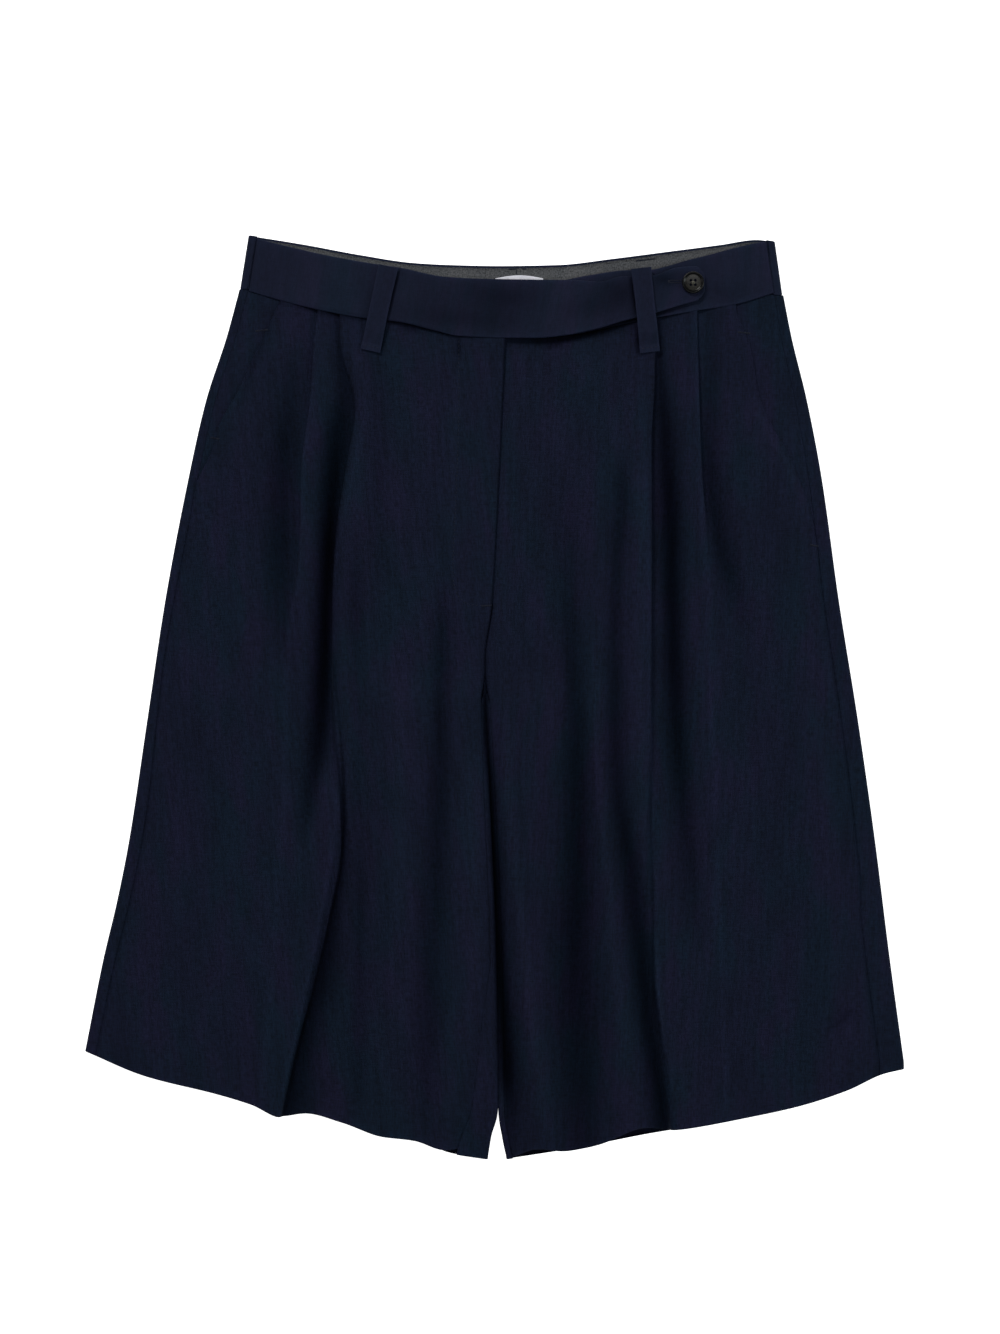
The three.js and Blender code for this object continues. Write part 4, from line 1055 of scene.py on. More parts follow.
@dataclass
class BeltLoops:
    """Five belt loops: two stand over the front, three lie under the back."""

    layout: Layout
    bands: Waistband
    width: float = 13.3
    length: float = 58.5
    trim: float = 0.8
    wall: float = 1.0  # wall of the solid loops
    bulge: float = 1.6
    narrowing: float = 0.05
    turned_edge: float = 0.18  # how far the turned edges stand proud

    def _grain(self, grid: Array) -> Array:
        """Place of each point on the flat strip."""
        rows, columns = grid.shape[:2]
        across, along = np.linspace(0, self.width, columns), np.linspace(0, self.length, rows)
        return stacked(across[None, :], along[:, None])

    def front(self, cut: Cut, top: Point, foot: Point, leg_height: float, material: Material) -> Object:
        """A front loop, stitched above the band and, turned under, below it.

        Args:
            cut: names, slot and size.
            top: its middle above the band.
            foot: its middle below the band.
            leg_height: height of the loop's middle at its lower end.
            material: finish.

        Returns:
            The mesh object.
        """
        _, (side_x, side_y) = side_step(top, foot)
        t = np.linspace(0, 1, 91)[:, None]
        side = np.linspace(-0.5, 0.5, 15)[None, :]
        narrow = 1 - self.narrowing * np.sin(math.pi * t)
        x = mix(top[0], foot[0], t) + side_x * side * self.width * narrow
        y = mix(top[1], foot[1], t) + side_y * side * self.width * narrow
        spread = np.array([-0.5, 0, 0.5]) * self.width
        band = self.bands.right
        on_band = max(band.z_low(foot[0] + spread).max(), band.z_top(top[0] + spread).max())
        over = on_band + 1 + SEAM_GAP + self.wall / 2
        over = over + self.bulge * np.sin(math.pi * np.clip(t / 0.8, 0, 1))
        share = np.linspace(0, 1, side.size)[None, :]
        edge = self.turned_edge * (bell(share - 0.1, 0.08) + bell(share - 0.9, 0.08))
        z = mix(over, leg_height, smoothstep(t, 0.74, 0.92)) + edge
        z = z + 0.35 * bell(t - 0.955, 0.02) - 0.2 * bell(t - 0.91, 0.012)
        grid = stacked(x, y, z)
        worn = np.maximum(bell(np.abs(side) - 0.5, 0.1) + 0 * t, bell(t - 1, 0.05) + 0 * side)
        return Shell(grid, self.trim, self._grain(grid), worn).build(cut, material)

    def back(self, cut: Cut, centre_x: float, material: Material) -> Object:
        """A back loop, flat between the band and the surface.

        Args:
            cut: names, slot and size.
            centre_x: its middle.
            material: finish.

        Returns:
            The mesh object.
        """
        t = np.linspace(0, 1, 41)[:, None]
        x = centre_x + np.linspace(-0.5, 0.5, 11)[None, :] * self.width
        y = mix(self.layout.back_top(x) - 0.4, self.layout.back_waist(x) - 9, t)
        grid = stacked(x, y, self.wall / 2)
        return Shell(grid, self.trim, self._grain(grid)).build(cut, material)


@dataclass
class FlyStrip:
    """A strip inside the fly, hidden under the right front: the underlap or the zip tape."""

    layout: Layout
    cut: Cut
    near: float  # distance of its nearer edge from the lapping edge
    width: float
    z: float  # height of its middle away from the band
    thickness: float = 0.9

    def build(self, material: Material) -> Object:
        """Makes the strip, from just under the band to just above the fly's end.

        Args:
            material: its finish.

        Returns:
            The mesh object.
        """
        y = np.linspace(self.layout.front_waist(-10.0) - 1.5, FLY_END_Y + 16, 61)[:, None]
        share = np.linspace(0, 1, 13)[None, :]
        x = self.layout.centre_front(y) - self.near - share * self.width
        grid = stacked(x, y, self.z + self.layout.loop_lift(y))
        return Shell(grid, self.thickness, stacked(share * self.width, y)).build(self.cut, material)


@dataclass(frozen=True)
class Button:
    """A horn-like button on the tab, sewn through its four holes."""

    x: float = 130.0
    y: float = 271.8
    radius: float = 7.2
    thickness: float = 1.9
    rim: float = 1.5
    rim_height: float = 0.7
    dish: float = 5.2
    hole_radius: float = 0.95
    hole_ring: float = 2.0
    thread_ring: float = 1.45
    thread_radius: float = 0.24
    thread_apart: float = 0.3
    thread_lift: Point = (0.3, 0.75)  # of the lower and the upper pair
    segments: int = 72

    def _profile(self) -> list[Point]:
        """Radius and height round the button's half section."""
        radius, floor = self.radius, self.thickness
        top, inner = floor + self.rim_height, radius - self.rim
        return [
            (0.0, 0.0), (radius - 0.9, 0.0), (radius - 0.3, 0.25), (radius, 0.9), (radius, top - 0.7),
            (radius - 0.22, top - 0.22), (radius - 0.6, top), (inner + 0.5, top - 0.08),
            (inner + 0.15, top - 0.4), (inner - 0.15, floor + 0.02), (inner - 0.7, floor - 0.1),
            (2.9, floor - 0.22), (0.0, floor - 0.32),
        ]

    def _lathe(self) -> Object:
        """The button without its holes."""
        profile, n = self._profile(), self.segments
        corners, faces = [(0.0, 0.0, profile[0][1])], []
        for radius, height in profile[1:-1]:
            for i in range(n):
                angle = 2 * math.pi * i / n
                corners.append((radius * math.cos(angle), radius * math.sin(angle), height))
        corners.append((0.0, 0.0, profile[-1][1]))
        rings, last = len(profile) - 2, len(corners) - 1
        top = 1 + (rings - 1) * n
        for i in range(n):
            j = (i + 1) % n
            faces.append((0, 1 + j, 1 + i))
            for a in range(1, top, n):
                faces.append((a + i, a + j, a + n + j, a + n + i))
            faces.append((top + i, top + j, last))
        return from_corners("Button", corners, faces)

    @staticmethod
    def _four_round(ring: float) -> list[Point]:
        """Four places round the button's centre, on a ring of a radius."""
        angles = [math.pi / 4 + math.pi / 2 * i for i in range(4)]
        return [(ring * math.cos(a), ring * math.sin(a)) for a in angles]

    def build(self, seat: float, horn: Material, thread: Material) -> list[Object]:
        """Makes the button and the thread that holds it.

        Args:
            seat: height that the button sits at.
            horn: finish of the button.
            thread: finish of the thread.

        Returns:
            The mesh objects.
        """
        made = self._lathe()
        for x, y in self._four_round(self.hole_ring):
            bpy.ops.mesh.primitive_cylinder_add(
                vertices=28, radius=self.hole_radius * MM, depth=10 * MM, location=(x * MM, y * MM, 0))
            drill = bpy.context.object
            cut = made.modifiers.new("hole", "BOOLEAN")
            cut.operation, cut.object, cut.solver = "DIFFERENCE", drill, "EXACT"
            bpy.context.view_layer.objects.active = made
            bpy.ops.object.modifier_apply(modifier=cut.name)
            bpy.data.objects.remove(drill)
        made.data.transform(Matrix.Translation(Vector((self.x, self.y, seat)) * MM))
        made.data.shade_smooth()
        made.data.set_sharp_from_angle(angle=math.radians(42))
        place(made, horn, Slot.BUTTON, "button")
        ends = self._four_round(self.thread_ring)
        floor = seat + self.thickness - 0.3
        run = ThreadRun("ButtonThread", self.thread_radius)
        for (start, end), lift in zip((ends[0::2], ends[1::2]), self.thread_lift):
            _, (side_x, side_y) = side_step(start, end)
            for shift in (-self.thread_apart, self.thread_apart):
                into, out = (
                    Vector((self.x + px + side_x * shift, self.y + py + side_y * shift, floor))
                    for px, py in (start, end))
                run.add(into, out, lift, sunk=1.0)
        return [made, run.build(thread, Slot.BUTTON)]


class ThreadRun:
    """Many short stitches as one mesh. Each rises out of the cloth and goes back in."""

    SIDES = 6
    RINGS = 7

    def __init__(self, name: str, radius: float) -> None:
        """Starts an empty run of thread of a radius in mm."""
        self.name = name
        self.radius = radius
        self.corners: list[Array] = []
        self.faces: list[tuple[int, ...]] = []

    def add(self, start: Vector, end: Vector, lift: float, sunk: float = 0.3) -> None:
        """Adds a stitch.

        Args:
            start: where it leaves the cloth, in mm.
            end: where it goes back in.
            lift: how far its middle stands above the straight line.
            sunk: how far its ends go below the cloth.
        """
        line = np.array(end - start, float)
        along = line / np.linalg.norm(line)
        side = unit(np.cross(along, [0.0, 0.0, 1.0]))
        up = np.cross(side, along)
        base, n = len(self.corners), self.SIDES
        for t in np.linspace(0, 1, self.RINGS):
            arch = math.sin(math.pi * t) ** 0.6
            middle = np.array(start) + line * t + up * (lift * arch - sunk * (1 - arch))
            radius = self.radius * (0.72 + 0.28 * math.sin(math.pi * t))
            for k in range(n):
                angle = 2 * math.pi * k / n
                self.corners.append(middle + radius * (side * math.cos(angle) + up * math.sin(angle)))
        self.corners += [np.array(start) - up * sunk, np.array(end) - up * sunk]
        last, cap = base + (self.RINGS - 1) * n, base + self.RINGS * n
        for a in range(base, last, n):
            self.faces += [(a + k, a + (k + 1) % n, a + n + (k + 1) % n, a + n + k) for k in range(n)]
        for k in range(n):
            m = (k + 1) % n
            self.faces += [(cap, base + m, base + k), (cap + 1, last + k, last + m)]

    def build(self, material: Material, slot: Slot) -> Object:
        """Makes the mesh of the whole run."""
        made = from_corners(self.name, self.corners, self.faces)
        made.data.shade_smooth()
        return place(made, material, slot)


class Surface:
    """Heights of the shown cloth, so that stitches lie on it."""

    BARE = 6.0  # height where no piece is hit

    def __init__(self, pieces: list[Object]) -> None:
        """Reads the pieces' shapes."""
        graph = bpy.context.evaluated_depsgraph_get()
        self.trees = [BVHTree.FromObject(piece, graph) for piece in pieces]

    def at(self, x: float, y: float) -> Vector:
        """Highest point of the pieces at x and y, in mm."""
        eye = Vector((x * MM, y * MM, 0.2))
        hits = [tree.ray_cast(eye, Vector((0, 0, -1)))[0] for tree in self.trees]
        return Vector((x, y, max((hit.z / MM for hit in hits if hit is not None), default=self.BARE)))


@dataclass(frozen=True)
class StitchLine:
    """A row of machine stitches along points on the garment."""

    name: str
    points: tuple[Point, ...]
    slot: Slot = Slot.WAISTBAND
    length: float = 2.1
    gap: float = 0.75
    radius: float = 0.17


@dataclass(frozen=True)
class Bartack:
    """A short bar of close stitches across an opening's end."""

    name: str
    start: Point
    end: Point
    slot: Slot = Slot.SUITING
    width: float = 1.5
    pitch: float = 0.42


@dataclass(frozen=True)
class Buttonhole:
    """A worked buttonhole: its outer end, its end under the button and the stitches round its slit."""

    start: Point = (115.0, 272.6)
    end: Point = (123.5, 272.6)
    pitch: float = 0.38
    inner: float = 0.22
    outer: float = 1.25
    bar_reach: float = 1.1
    bar_stitches: int = 4


@dataclass
class Stitching:
    """Machine stitches, bartacks and the buttonhole, laid on the shown cloth."""

    surface: Surface
    thread: Material
    step: float = 0.25  # between the places tried along a line
    close_radius: float = 0.2

    def _dense(self, points: tuple[Point, ...]) -> Array:
        """Points every step along a smooth line through the given ones.

        Args:
            points: given points.

        Returns:
            Rows of x and y.
        """
        given = np.array(points, float)
        lengths = np.concatenate([[0.0], np.cumsum(np.linalg.norm(np.diff(given, axis=0), axis=1))])
        fine = np.arange(0, lengths[-1], self.step)
        return np.stack([Curve(*zip(lengths, values))(fine) for values in given.T], axis=1)

    def line(self, spec: StitchLine) -> Object:
        """Makes a row of stitches.

        Args:
            spec: the line and its stitches.

        Returns:
            The mesh object.
        """
        dense = self._dense(spec.points)
        run = ThreadRun(spec.name, spec.radius)
        span, pitch = round(spec.length / self.step), round((spec.length + spec.gap) / self.step)
        for i in range(0, len(dense) - span, pitch):
            run.add(self.surface.at(*dense[i]), self.surface.at(*dense[i + span]), lift=0.12, sunk=0.22)
        return run.build(self.thread, spec.slot)

    def bartack(self, spec: Bartack) -> Object:
        """Makes a bartack: close stitches across the line from start to end.

        Args:
            spec: its ends, width and pitch.

        Returns:
            The mesh object.
        """
        run = ThreadRun(spec.name, self.close_radius)
        (ax, ay), (bx, by) = spec.start, spec.end
        length, (side_x, side_y) = side_step(spec.start, spec.end)
        off_x, off_y = side_x * spec.width / 2, side_y * spec.width / 2
        for i in range(int(length / spec.pitch) + 1):
            t = i * spec.pitch / length
            x, y = mix(ax, bx, t), mix(ay, by, t)
            lean = 0.15 if i % 2 else -0.15
            start = self.surface.at(x + off_x + lean, y + off_y)
            end = self.surface.at(x - off_x - lean, y - off_y)
            start.z = end.z = max(start.z, end.z)
            run.add(start, end, lift=0.2, sunk=0.25)
        return run.build(self.thread, spec.slot)

    def buttonhole(self, spec: Buttonhole) -> Object:
        """Makes the buttonhole: two rows of close stitches with a bar at the outer end.

        Args:
            spec: its ends and its stitches.

        Returns:
            The mesh object.
        """
        run = ThreadRun("Buttonhole", self.close_radius)
        (ax, ay), (bx, by) = spec.start, spec.end
        length, (side_x, side_y) = side_step(spec.start, spec.end)
        for i in range(int(length / spec.pitch) + 1):
            x, y = mix(ax, bx, i * spec.pitch / length), mix(ay, by, i * spec.pitch / length)
            for sign in (-1, 1):
                first, second = (
                    self.surface.at(x + sign * side_x * away, y + sign * side_y * away)
                    for away in (spec.inner, spec.outer))
                run.add(first, second, lift=0.2, sunk=0.2)
        for i in range(spec.bar_stitches):
            x = ax - 0.2 - 0.3 * i
            upper, lower = (self.surface.at(x, ay + reach) for reach in (spec.bar_reach, -spec.bar_reach))
            run.add(upper, lower, lift=0.25, sunk=0.2)
        return run.build(self.thread, Slot.WAISTBAND)


class Nodes:
    """A material's node tree, built node by node."""

    def __init__(self, name: str) -> None:
        """Starts a material with a Principled shader."""
        self.material = bpy.data.materials.new(name)
        self.material.use_nodes = True
        self.tree = self.material.node_tree
        self.tree.nodes.clear()
        self.shader = self.tree.nodes.new("ShaderNodeBsdfPrincipled")
        output = self.tree.nodes.new("ShaderNodeOutputMaterial")
        self.tree.links.new(self.shader.outputs[0], output.inputs["Surface"])

    def node(self, kind: str, **settings: object) -> bpy.types.Node:
        """Adds a node and sets its properties."""
        made = self.tree.nodes.new("ShaderNode" + kind)
        for key, value in settings.items():
            setattr(made, key, value)
        return made

    def feed(self, socket: NodeSocket, value: object) -> None:
        """Links a socket to another or sets its value."""
        if isinstance(value, NodeSocket):
            self.tree.links.new(value, socket)
        else:
            socket.default_value = value

    def shade(self, **values: object) -> Material:
        """Feeds the shader's sockets, named in snake case, and gives the finished material."""
        for socket in self.shader.inputs:
            key = socket.name.lower().replace(" ", "_")
            if key in values:
                self.feed(socket, values[key])
        return self.material

    def math(self, operation: str, *values: object) -> NodeSocket:
        """A mathematical node over sockets or numbers."""
        made = self.node("Math", operation=operation)
        for socket, value in zip(made.inputs, values):
            self.feed(socket, value)
        return made.outputs[0]

    def plus(self, *values: object) -> NodeSocket:
        """Sum of two values."""
        return self.math("ADD", *values)

    def times(self, *values: object) -> NodeSocket:
        """Product of two values."""
        return self.math("MULTIPLY", *values)

    def vector(self, operation: str, first: object, second: object, socket: int | str = 1) -> bpy.types.Node:
        """A vector node whose second value goes to the given socket.

        Args:
            operation: what it does.
            first: its first value.
            second: its second value.
            socket: socket of the second value.

        Returns:
            The node.
        """
        made = self.node("VectorMath", operation=operation)
        self.feed(made.inputs[0], first)
        self.feed(made.inputs[socket], second)
        return made

    def position(self) -> NodeSocket:
        """Place of the shaded point."""
        return self.node("NewGeometry").outputs["Position"]

    def share(self, name: str) -> NodeSocket:
        """A value that the mesh keeps at each corner."""
        return self.node("Attribute", attribute_name=name).outputs["Fac"]

    def mixed(self, share: object, first: object, second: object) -> NodeSocket:
        """Two colours, each a socket or plain, mixed by a share.

        Args:
            share: share of the second.
            first: colour at 0.
            second: colour at 1.

        Returns:
            The mixed colour.
        """
        made = self.node("Mix", data_type="RGBA")
        colours = [s for s in made.inputs if s.type == "RGBA"]
        for socket, value in zip((made.inputs[0], *colours), (share, first, second)):
            self.feed(socket, value + (1.0,) if isinstance(value, tuple) else value)
        return next(s for s in made.outputs if s.type == "RGBA")

    def noise(self, place_at: object, scale: Colour, detail: float, rough: float = 0.5) -> NodeSocket:
        """Noise over a place that is first scaled along each axis.

        Args:
            place_at: vector socket.
            scale: scale on each axis.
            detail: octaves.
            rough: weight of the finer octaves.

        Returns:
            The noise as a value about 0.5.
        """
        mapping = self.node("Mapping")
        mapping.inputs["Scale"].default_value = scale
        self.feed(mapping.inputs["Vector"], place_at)
        made = self.node("TexNoise")
        settings = {"Scale": 1.0, "Detail": detail, "Roughness": rough, "Vector": mapping.outputs[0]}
        for name, value in settings.items():
            self.feed(made.inputs[name], value)
        return made.outputs[0]

    def ramp(self, value: object, low: float, high: float, to_low: float, to_high: float) -> NodeSocket:
        """A value moved from one range to another, held at its ends.

        Args:
            value: socket.
            low: start of the range read.
            high: end of the range read.
            to_low: value given at low.
            to_high: value given at high.

        Returns:
            The moved value.
        """
        made = self.node("MapRange", clamp=True)
        for socket, number in zip(made.inputs, (value, low, high, to_low, to_high)):
            self.feed(socket, number)
        return made.outputs[0]

    def bump(self, height: object, distance: float, strength: float, before: object = None) -> NodeSocket:
        """A bump of a height.

        Args:
            height: socket.
            distance: how high it stands, in metres.
            strength: how much of it counts.
            before: an earlier bump that it lies over.

        Returns:
            The bumped normal.
        """
        made = self.node("Bump")
        made.inputs["Strength"].default_value = strength
        made.inputs["Distance"].default_value = distance
        self.feed(made.inputs["Height"], height)
        if before is not None:
            self.feed(made.inputs["Normal"], before)
        return made.outputs[0]


@dataclass(frozen=True)
class ClothFinish:
    """A woven cloth: plain weave, uneven yarns, cloudy dye and handled edges."""

    name: str
    base: Colour
    cool: Colour
    warm: Colour
    pitch: float = 0.00052
    slub: float = 0.22
    cloud: float = 0.5
    weave_depth: float = 0.00005
    slub_depth: float = 0.00016
    roughness: float = 0.86
    specular: float = 0.07
    sheen: float = 0.015
    sheen_tint: Colour = (0.45, 0.55, 0.8)
    wear: float = 0.25
    twill: bool = False
    melange: float = 0.0

    def _weave(self, nodes: Nodes, place_at: NodeSocket) -> NodeSocket:
        """Height of the weave: threads that cross, or twill's slant lines.

        Args:
            nodes: the material's nodes.
            place_at: place on the flat cloth.

        Returns:
            The height, from -1 to 1.
        """
        parts = nodes.node("SeparateXYZ")
        nodes.feed(parts.inputs[0], place_at)
        drift = nodes.times(nodes.noise(place_at, (160.0, 160.0, 1.0), 1.0), 2.2)
        turns = 2 * math.pi / self.pitch
        across, along = (nodes.plus(nodes.times(parts.outputs[i], turns), drift) for i in (0, 1))
        if self.twill:
            return nodes.math("SINE", nodes.plus(across, nodes.times(along, 0.5)))
        return nodes.times(nodes.math("SINE", across), nodes.math("SINE", along))

    def build(self) -> Material:
        """Makes the material."""
        nodes = Nodes(self.name)
        place_at = nodes.node("UVMap", uv_map="cut").outputs[0]
        weave = self._weave(nodes, place_at)
        warp = nodes.noise(place_at, (1400.0, 240.0, 1.0), 2.0, 0.6)
        weft = nodes.noise(place_at, (160.0, 1400.0, 1.0), 2.0, 0.6)
        streak = nodes.noise(place_at, (420.0, 26.0, 1.0), 3.0, 0.65)
        cloud = nodes.noise(place_at, (40.0, 13.0, 1.0), 3.0, 0.6)
        hue = nodes.noise(place_at, (26.0, 11.0, 1.0), 2.0, 0.5)
        yarn = nodes.plus(nodes.times(warp, 0.42), nodes.times(weft, 0.3))
        yarn = nodes.plus(yarn, nodes.times(streak, 0.28))
        tone = nodes.ramp(yarn, 0.4, 0.6, 1 - self.slub, 1 + self.slub)
        tone = nodes.times(tone, nodes.ramp(cloud, 0.32, 0.68, 0.84, 1.14))
        tone = nodes.plus(tone, nodes.times(weave, 0.06))
        if self.melange:
            speck = nodes.noise(place_at, (1000.0, 800.0, 1.0), 2.0, 0.7)
            tone = nodes.plus(tone, nodes.ramp(speck, 0.3, 0.7, -self.melange, self.melange))
        rubbed = nodes.times(nodes.share("worn"), nodes.ramp(warp, 0.35, 0.65, 0.5, 1.0))
        tone = nodes.plus(tone, nodes.times(rubbed, self.wear))
        tinted = nodes.mixed(nodes.ramp(hue, 0.4, 0.6, 0.0, self.cloud), self.base, self.cool)
        tinted = nodes.mixed(nodes.ramp(cloud, 0.46, 0.64, 0.0, self.cloud), tinted, self.warm)
        # Painted shade: the mesh's shade attribute darkens the colour, the specular and the sheen where
        # shade falls.
        light = nodes.math("SUBTRACT", 1.0, nodes.share("shade"))
        first = nodes.bump(yarn, self.slub_depth, 0.8)
        return nodes.shade(
            base_color=nodes.vector("SCALE", tinted, nodes.times(tone, light), "Scale").outputs[0],
            roughness=nodes.ramp(yarn, 0.3, 0.7, self.roughness - 0.07, self.roughness + 0.07),
            specular_ior_level=nodes.times(light, self.specular),
            sheen_weight=nodes.times(light, self.sheen),
            sheen_roughness=0.4,
            sheen_tint=self.sheen_tint + (1.0,),
            normal=nodes.bump(weave, self.weave_depth, 0.6, first),
        )


@dataclass(frozen=True)
class ThreadFinish:
    """Sewing thread: twisted, slightly shiny."""

    name: str
    colour: Colour
    shine: float = 0.35
    grain: float = 4200.0

    def build(self) -> Material:
        """Makes the material."""
        nodes = Nodes(self.name)
        twist = nodes.noise(nodes.position(), (self.grain,) * 3, 2.0, 0.6)
        dark = tuple(0.6 * c for c in self.colour)
        return nodes.shade(
            base_color=nodes.mixed(twist, dark, self.colour),
            roughness=0.6,
            specular_ior_level=self.shine,
            normal=nodes.bump(twist, 0.00006, 0.7),
        )


@dataclass(frozen=True)
class HornFinish:
    """Polished horn with clouded grain and fine turning marks, darker on the rim than in the dish."""

    centre: Colour
    dish: float
    soft: float = 0.0004  # half of the way from dish to rim
    rim: Colour = (0.0010, 0.0012, 0.0014)
    dark: Colour = (0.0030, 0.0029, 0.0024)
    light: Colour = (0.0140, 0.0130, 0.0100)

    def build(self) -> Material:
        """Makes the material."""
        nodes = Nodes("Horn")
        where = nodes.position()
        grain = nodes.noise(where, (260.0, 900.0, 300.0), 4.0, 0.6)
        speck = nodes.noise(where, (2600.0, 2600.0, 2600.0), 2.0, 0.6)
        colour = nodes.mixed(nodes.ramp(grain, 0.38, 0.66, 0.0, 1.0), self.dark, self.light)
        level = nodes.vector("MULTIPLY", where, (1.0, 1.0, 0.0)).outputs[0]
        reach = nodes.vector("DISTANCE", level, self.centre).outputs["Value"]
        outside = nodes.ramp(reach, self.dish - self.soft, self.dish + self.soft, 0.0, 1.0)
        return nodes.shade(
            base_color=nodes.mixed(outside, colour, self.rim),
            roughness=nodes.ramp(speck, 0.3, 0.7, 0.2, 0.36),
            specular_ior_level=nodes.ramp(outside, 0.0, 1.0, 0.24, 0.14),
            normal=nodes.bump(speck, 0.00003, 0.4),
        )


class Wardrobe:
    """The garment's materials."""

    def __init__(self) -> None:
        """Builds every finish once."""
        self.suiting = ClothFinish(
            "Suiting", base=(0.0050, 0.0071, 0.0184), cool=(0.0038, 0.0088, 0.0189),
            warm=(0.0059, 0.0063, 0.0182), slub=0.42, cloud=0.9,
        ).build()
        self.waistband = ClothFinish(
            "WaistbandSuiting", base=(0.0072, 0.0092, 0.0222), cool=(0.0054, 0.0106, 0.0224),
            warm=(0.0084, 0.0088, 0.0222), wear=0.3, slub=0.2, cloud=0.8,
        ).build()
        self.facing = ClothFinish(
            "Facing", base=(0.064, 0.066, 0.071), cool=(0.054, 0.059, 0.067), warm=(0.074, 0.073, 0.075),
            pitch=0.0011, slub=0.12, twill=True, melange=0.6, wear=-0.5, sheen=0.02, specular=0.15,
        ).build()
        self.label = ClothFinish(
            "LabelWeave", base=(0.70, 0.69, 0.76), cool=(0.66, 0.67, 0.76), warm=(0.74, 0.72, 0.77),
            pitch=0.00035, slub=0.03, roughness=0.6, specular=0.3, wear=-0.04, cloud=0.2,
        ).build()
        self.tape = ClothFinish(
            "ZipTape", base=(0.006, 0.0075, 0.014), cool=(0.005, 0.008, 0.014), warm=(0.007, 0.007, 0.014),
            pitch=0.0009, twill=True,
        ).build()
        self.thread = ThreadFinish("NavyThread", (0.0095, 0.0122, 0.0240), 0.15).build()
        self.light_thread = ThreadFinish("ButtonTwist", (0.120, 0.115, 0.090)).build()
        button = Button()
        self.horn = HornFinish((button.x * MM, button.y * MM, 0.0), button.dish * MM).build()


@dataclass(frozen=True)
class Softbox:
    """A rectangular lamp that looks at the garment's middle."""

    name: str
    place: tuple[float, float, float]
    size: Point
    power: float
    colour: Colour = (1.0, 1.0, 1.0)

    def hang(self) -> None:
        """Puts the lamp in the scene."""
        data = bpy.data.lights.new(self.name, "AREA")
        data.shape, data.size, data.size_y = "RECTANGLE", *self.size
        data.energy, data.color = self.power, self.colour
        made = linked(self.name, data)
        made.location = self.place
        made.rotation_euler = (-made.location).to_track_quat("-Z", "Y").to_euler()


@dataclass(frozen=True)
class Studio:
    """White sweep, soft lights and the camera of the photo, in metres."""

    camera_x: float = 0.0036
    camera_y: float = 0.0201
    cloth_z: float = 0.006
    frame_height: float = 0.8767
    lens: float = 85.0
    sensor: float = 36.0
    floor_reach: float = 6.0
    air_colour: Colour = (0.94, 0.97, 1.0)
    air_strength: float = 0.16

    def floor(self) -> None:
        """The white surface, which photographs as pure white."""
        far = self.floor_reach / MM
        corners = [(-far, -far, 0), (far, -far, 0), (far, far, 0), (-far, far, 0)]
        made = from_corners("Floor", corners, [(0, 1, 2, 3)])
        nodes = Nodes("WhiteSweep")
        grain = nodes.noise(nodes.position(), (40.0, 40.0, 40.0), 2.0)
        made.data.materials.append(nodes.shade(
            base_color=(0.82, 0.82, 0.82, 1.0),
            roughness=nodes.ramp(grain, 0.3, 0.7, 0.85, 0.95),
            emission_color=(1.0, 1.0, 1.0, 1.0),
            emission_strength=1.0,
        ))

    def camera(self) -> None:
        """Looks straight down on the garment, as the photo does."""
        data = bpy.data.cameras.new("Camera")
        data.lens, data.sensor_fit = self.lens, "VERTICAL"
        data.sensor_height = data.sensor_width = self.sensor
        data.clip_start, data.clip_end = 0.1, 20.0
        made = linked("Camera", data)
        above = self.frame_height * self.lens / self.sensor
        made.location = (self.camera_x, self.camera_y, self.cloth_z + above)
        bpy.context.scene.camera = made

    def build(self, boxes: tuple[Softbox, ...]) -> None:
        """Sets up floor, air, lights, camera and the view transform.

        Args:
            boxes: the lamps.
        """
        self.floor()
        scene = bpy.context.scene
        scene.world = bpy.data.worlds.new("Air")
        scene.world.use_nodes = True
        background = scene.world.node_tree.nodes["Background"]
        background.inputs["Color"].default_value = self.air_colour + (1.0,)
        background.inputs["Strength"].default_value = self.air_strength
        for box in boxes:
            box.hang()
        self.camera()
        scene.view_settings.view_transform = "Standard"
        scene.view_settings.look = "None"


FRONT_WAIST = Curve(
    (-167.3, 269), (-140.9, 261), (-115.2, 254.4), (-86.8, 249.2), (-62.4, 246.5), (-40.6, 241.2),
    (-23.4, 237.3), (6.3, 236), (25.4, 236), (51.8, 238.6), (69.6, 241.9), (105.9, 249.2), (132.3, 253.8),
    (158.7, 258.4), (185.1, 266.3),
)
BACK_TOP = Curve(
    (-161.4, 304), (-124.4, 298), (-88.8, 291.4), (-53.1, 286.1), (-29.4, 284.8), (3.6, 284.1),
    (41.9, 284.8), (77.6, 288.8), (113.2, 293.4), (148.8, 298), (172.6, 301.3), (183.8, 300),
)
TAB_LOWER = Curve(
    (51.8, 238.6), (69.6, 242.6), (82.8, 246.6), (104, 251.8), (119, 256.4), (138.3, 261.8),
)
CENTRE_FRONT = Curve((236, 7), (186, 5), (128, 2.3), (60, -1.7), (25, -6.3), (CROTCH_Y, -6.3))
BAND_RIGHT = FrontBand(
    (-161.4, 303.3, 5.9, 5.9), (-141.6, 298, 6.6, 6), (-115, 291.6, 9, 6.4), (-100, 288.6, 9.4, 6.8),
    (-82, 285.4, 8.4, 7), (-62.4, 282.5, 8.4, 7.2), (-32.7, 276.2, 9.2, 9.4), (-9.6, 274.9, 9.6, 9.6),
    (30, 274.2, 9.6, 9.6), (53, 273.9, 9.6, 9.6), (69.6, 272.9, 10, 9.8), (82.8, 276.2, 10.8, 10.4),
    (104, 276.9, 11.6, 11.6), (119, 281.8, 11.6, 11.6), (130.4, 282.8, 11.6, 11.6),
    (138.3, 281.2, 11.6, 11.6),
)
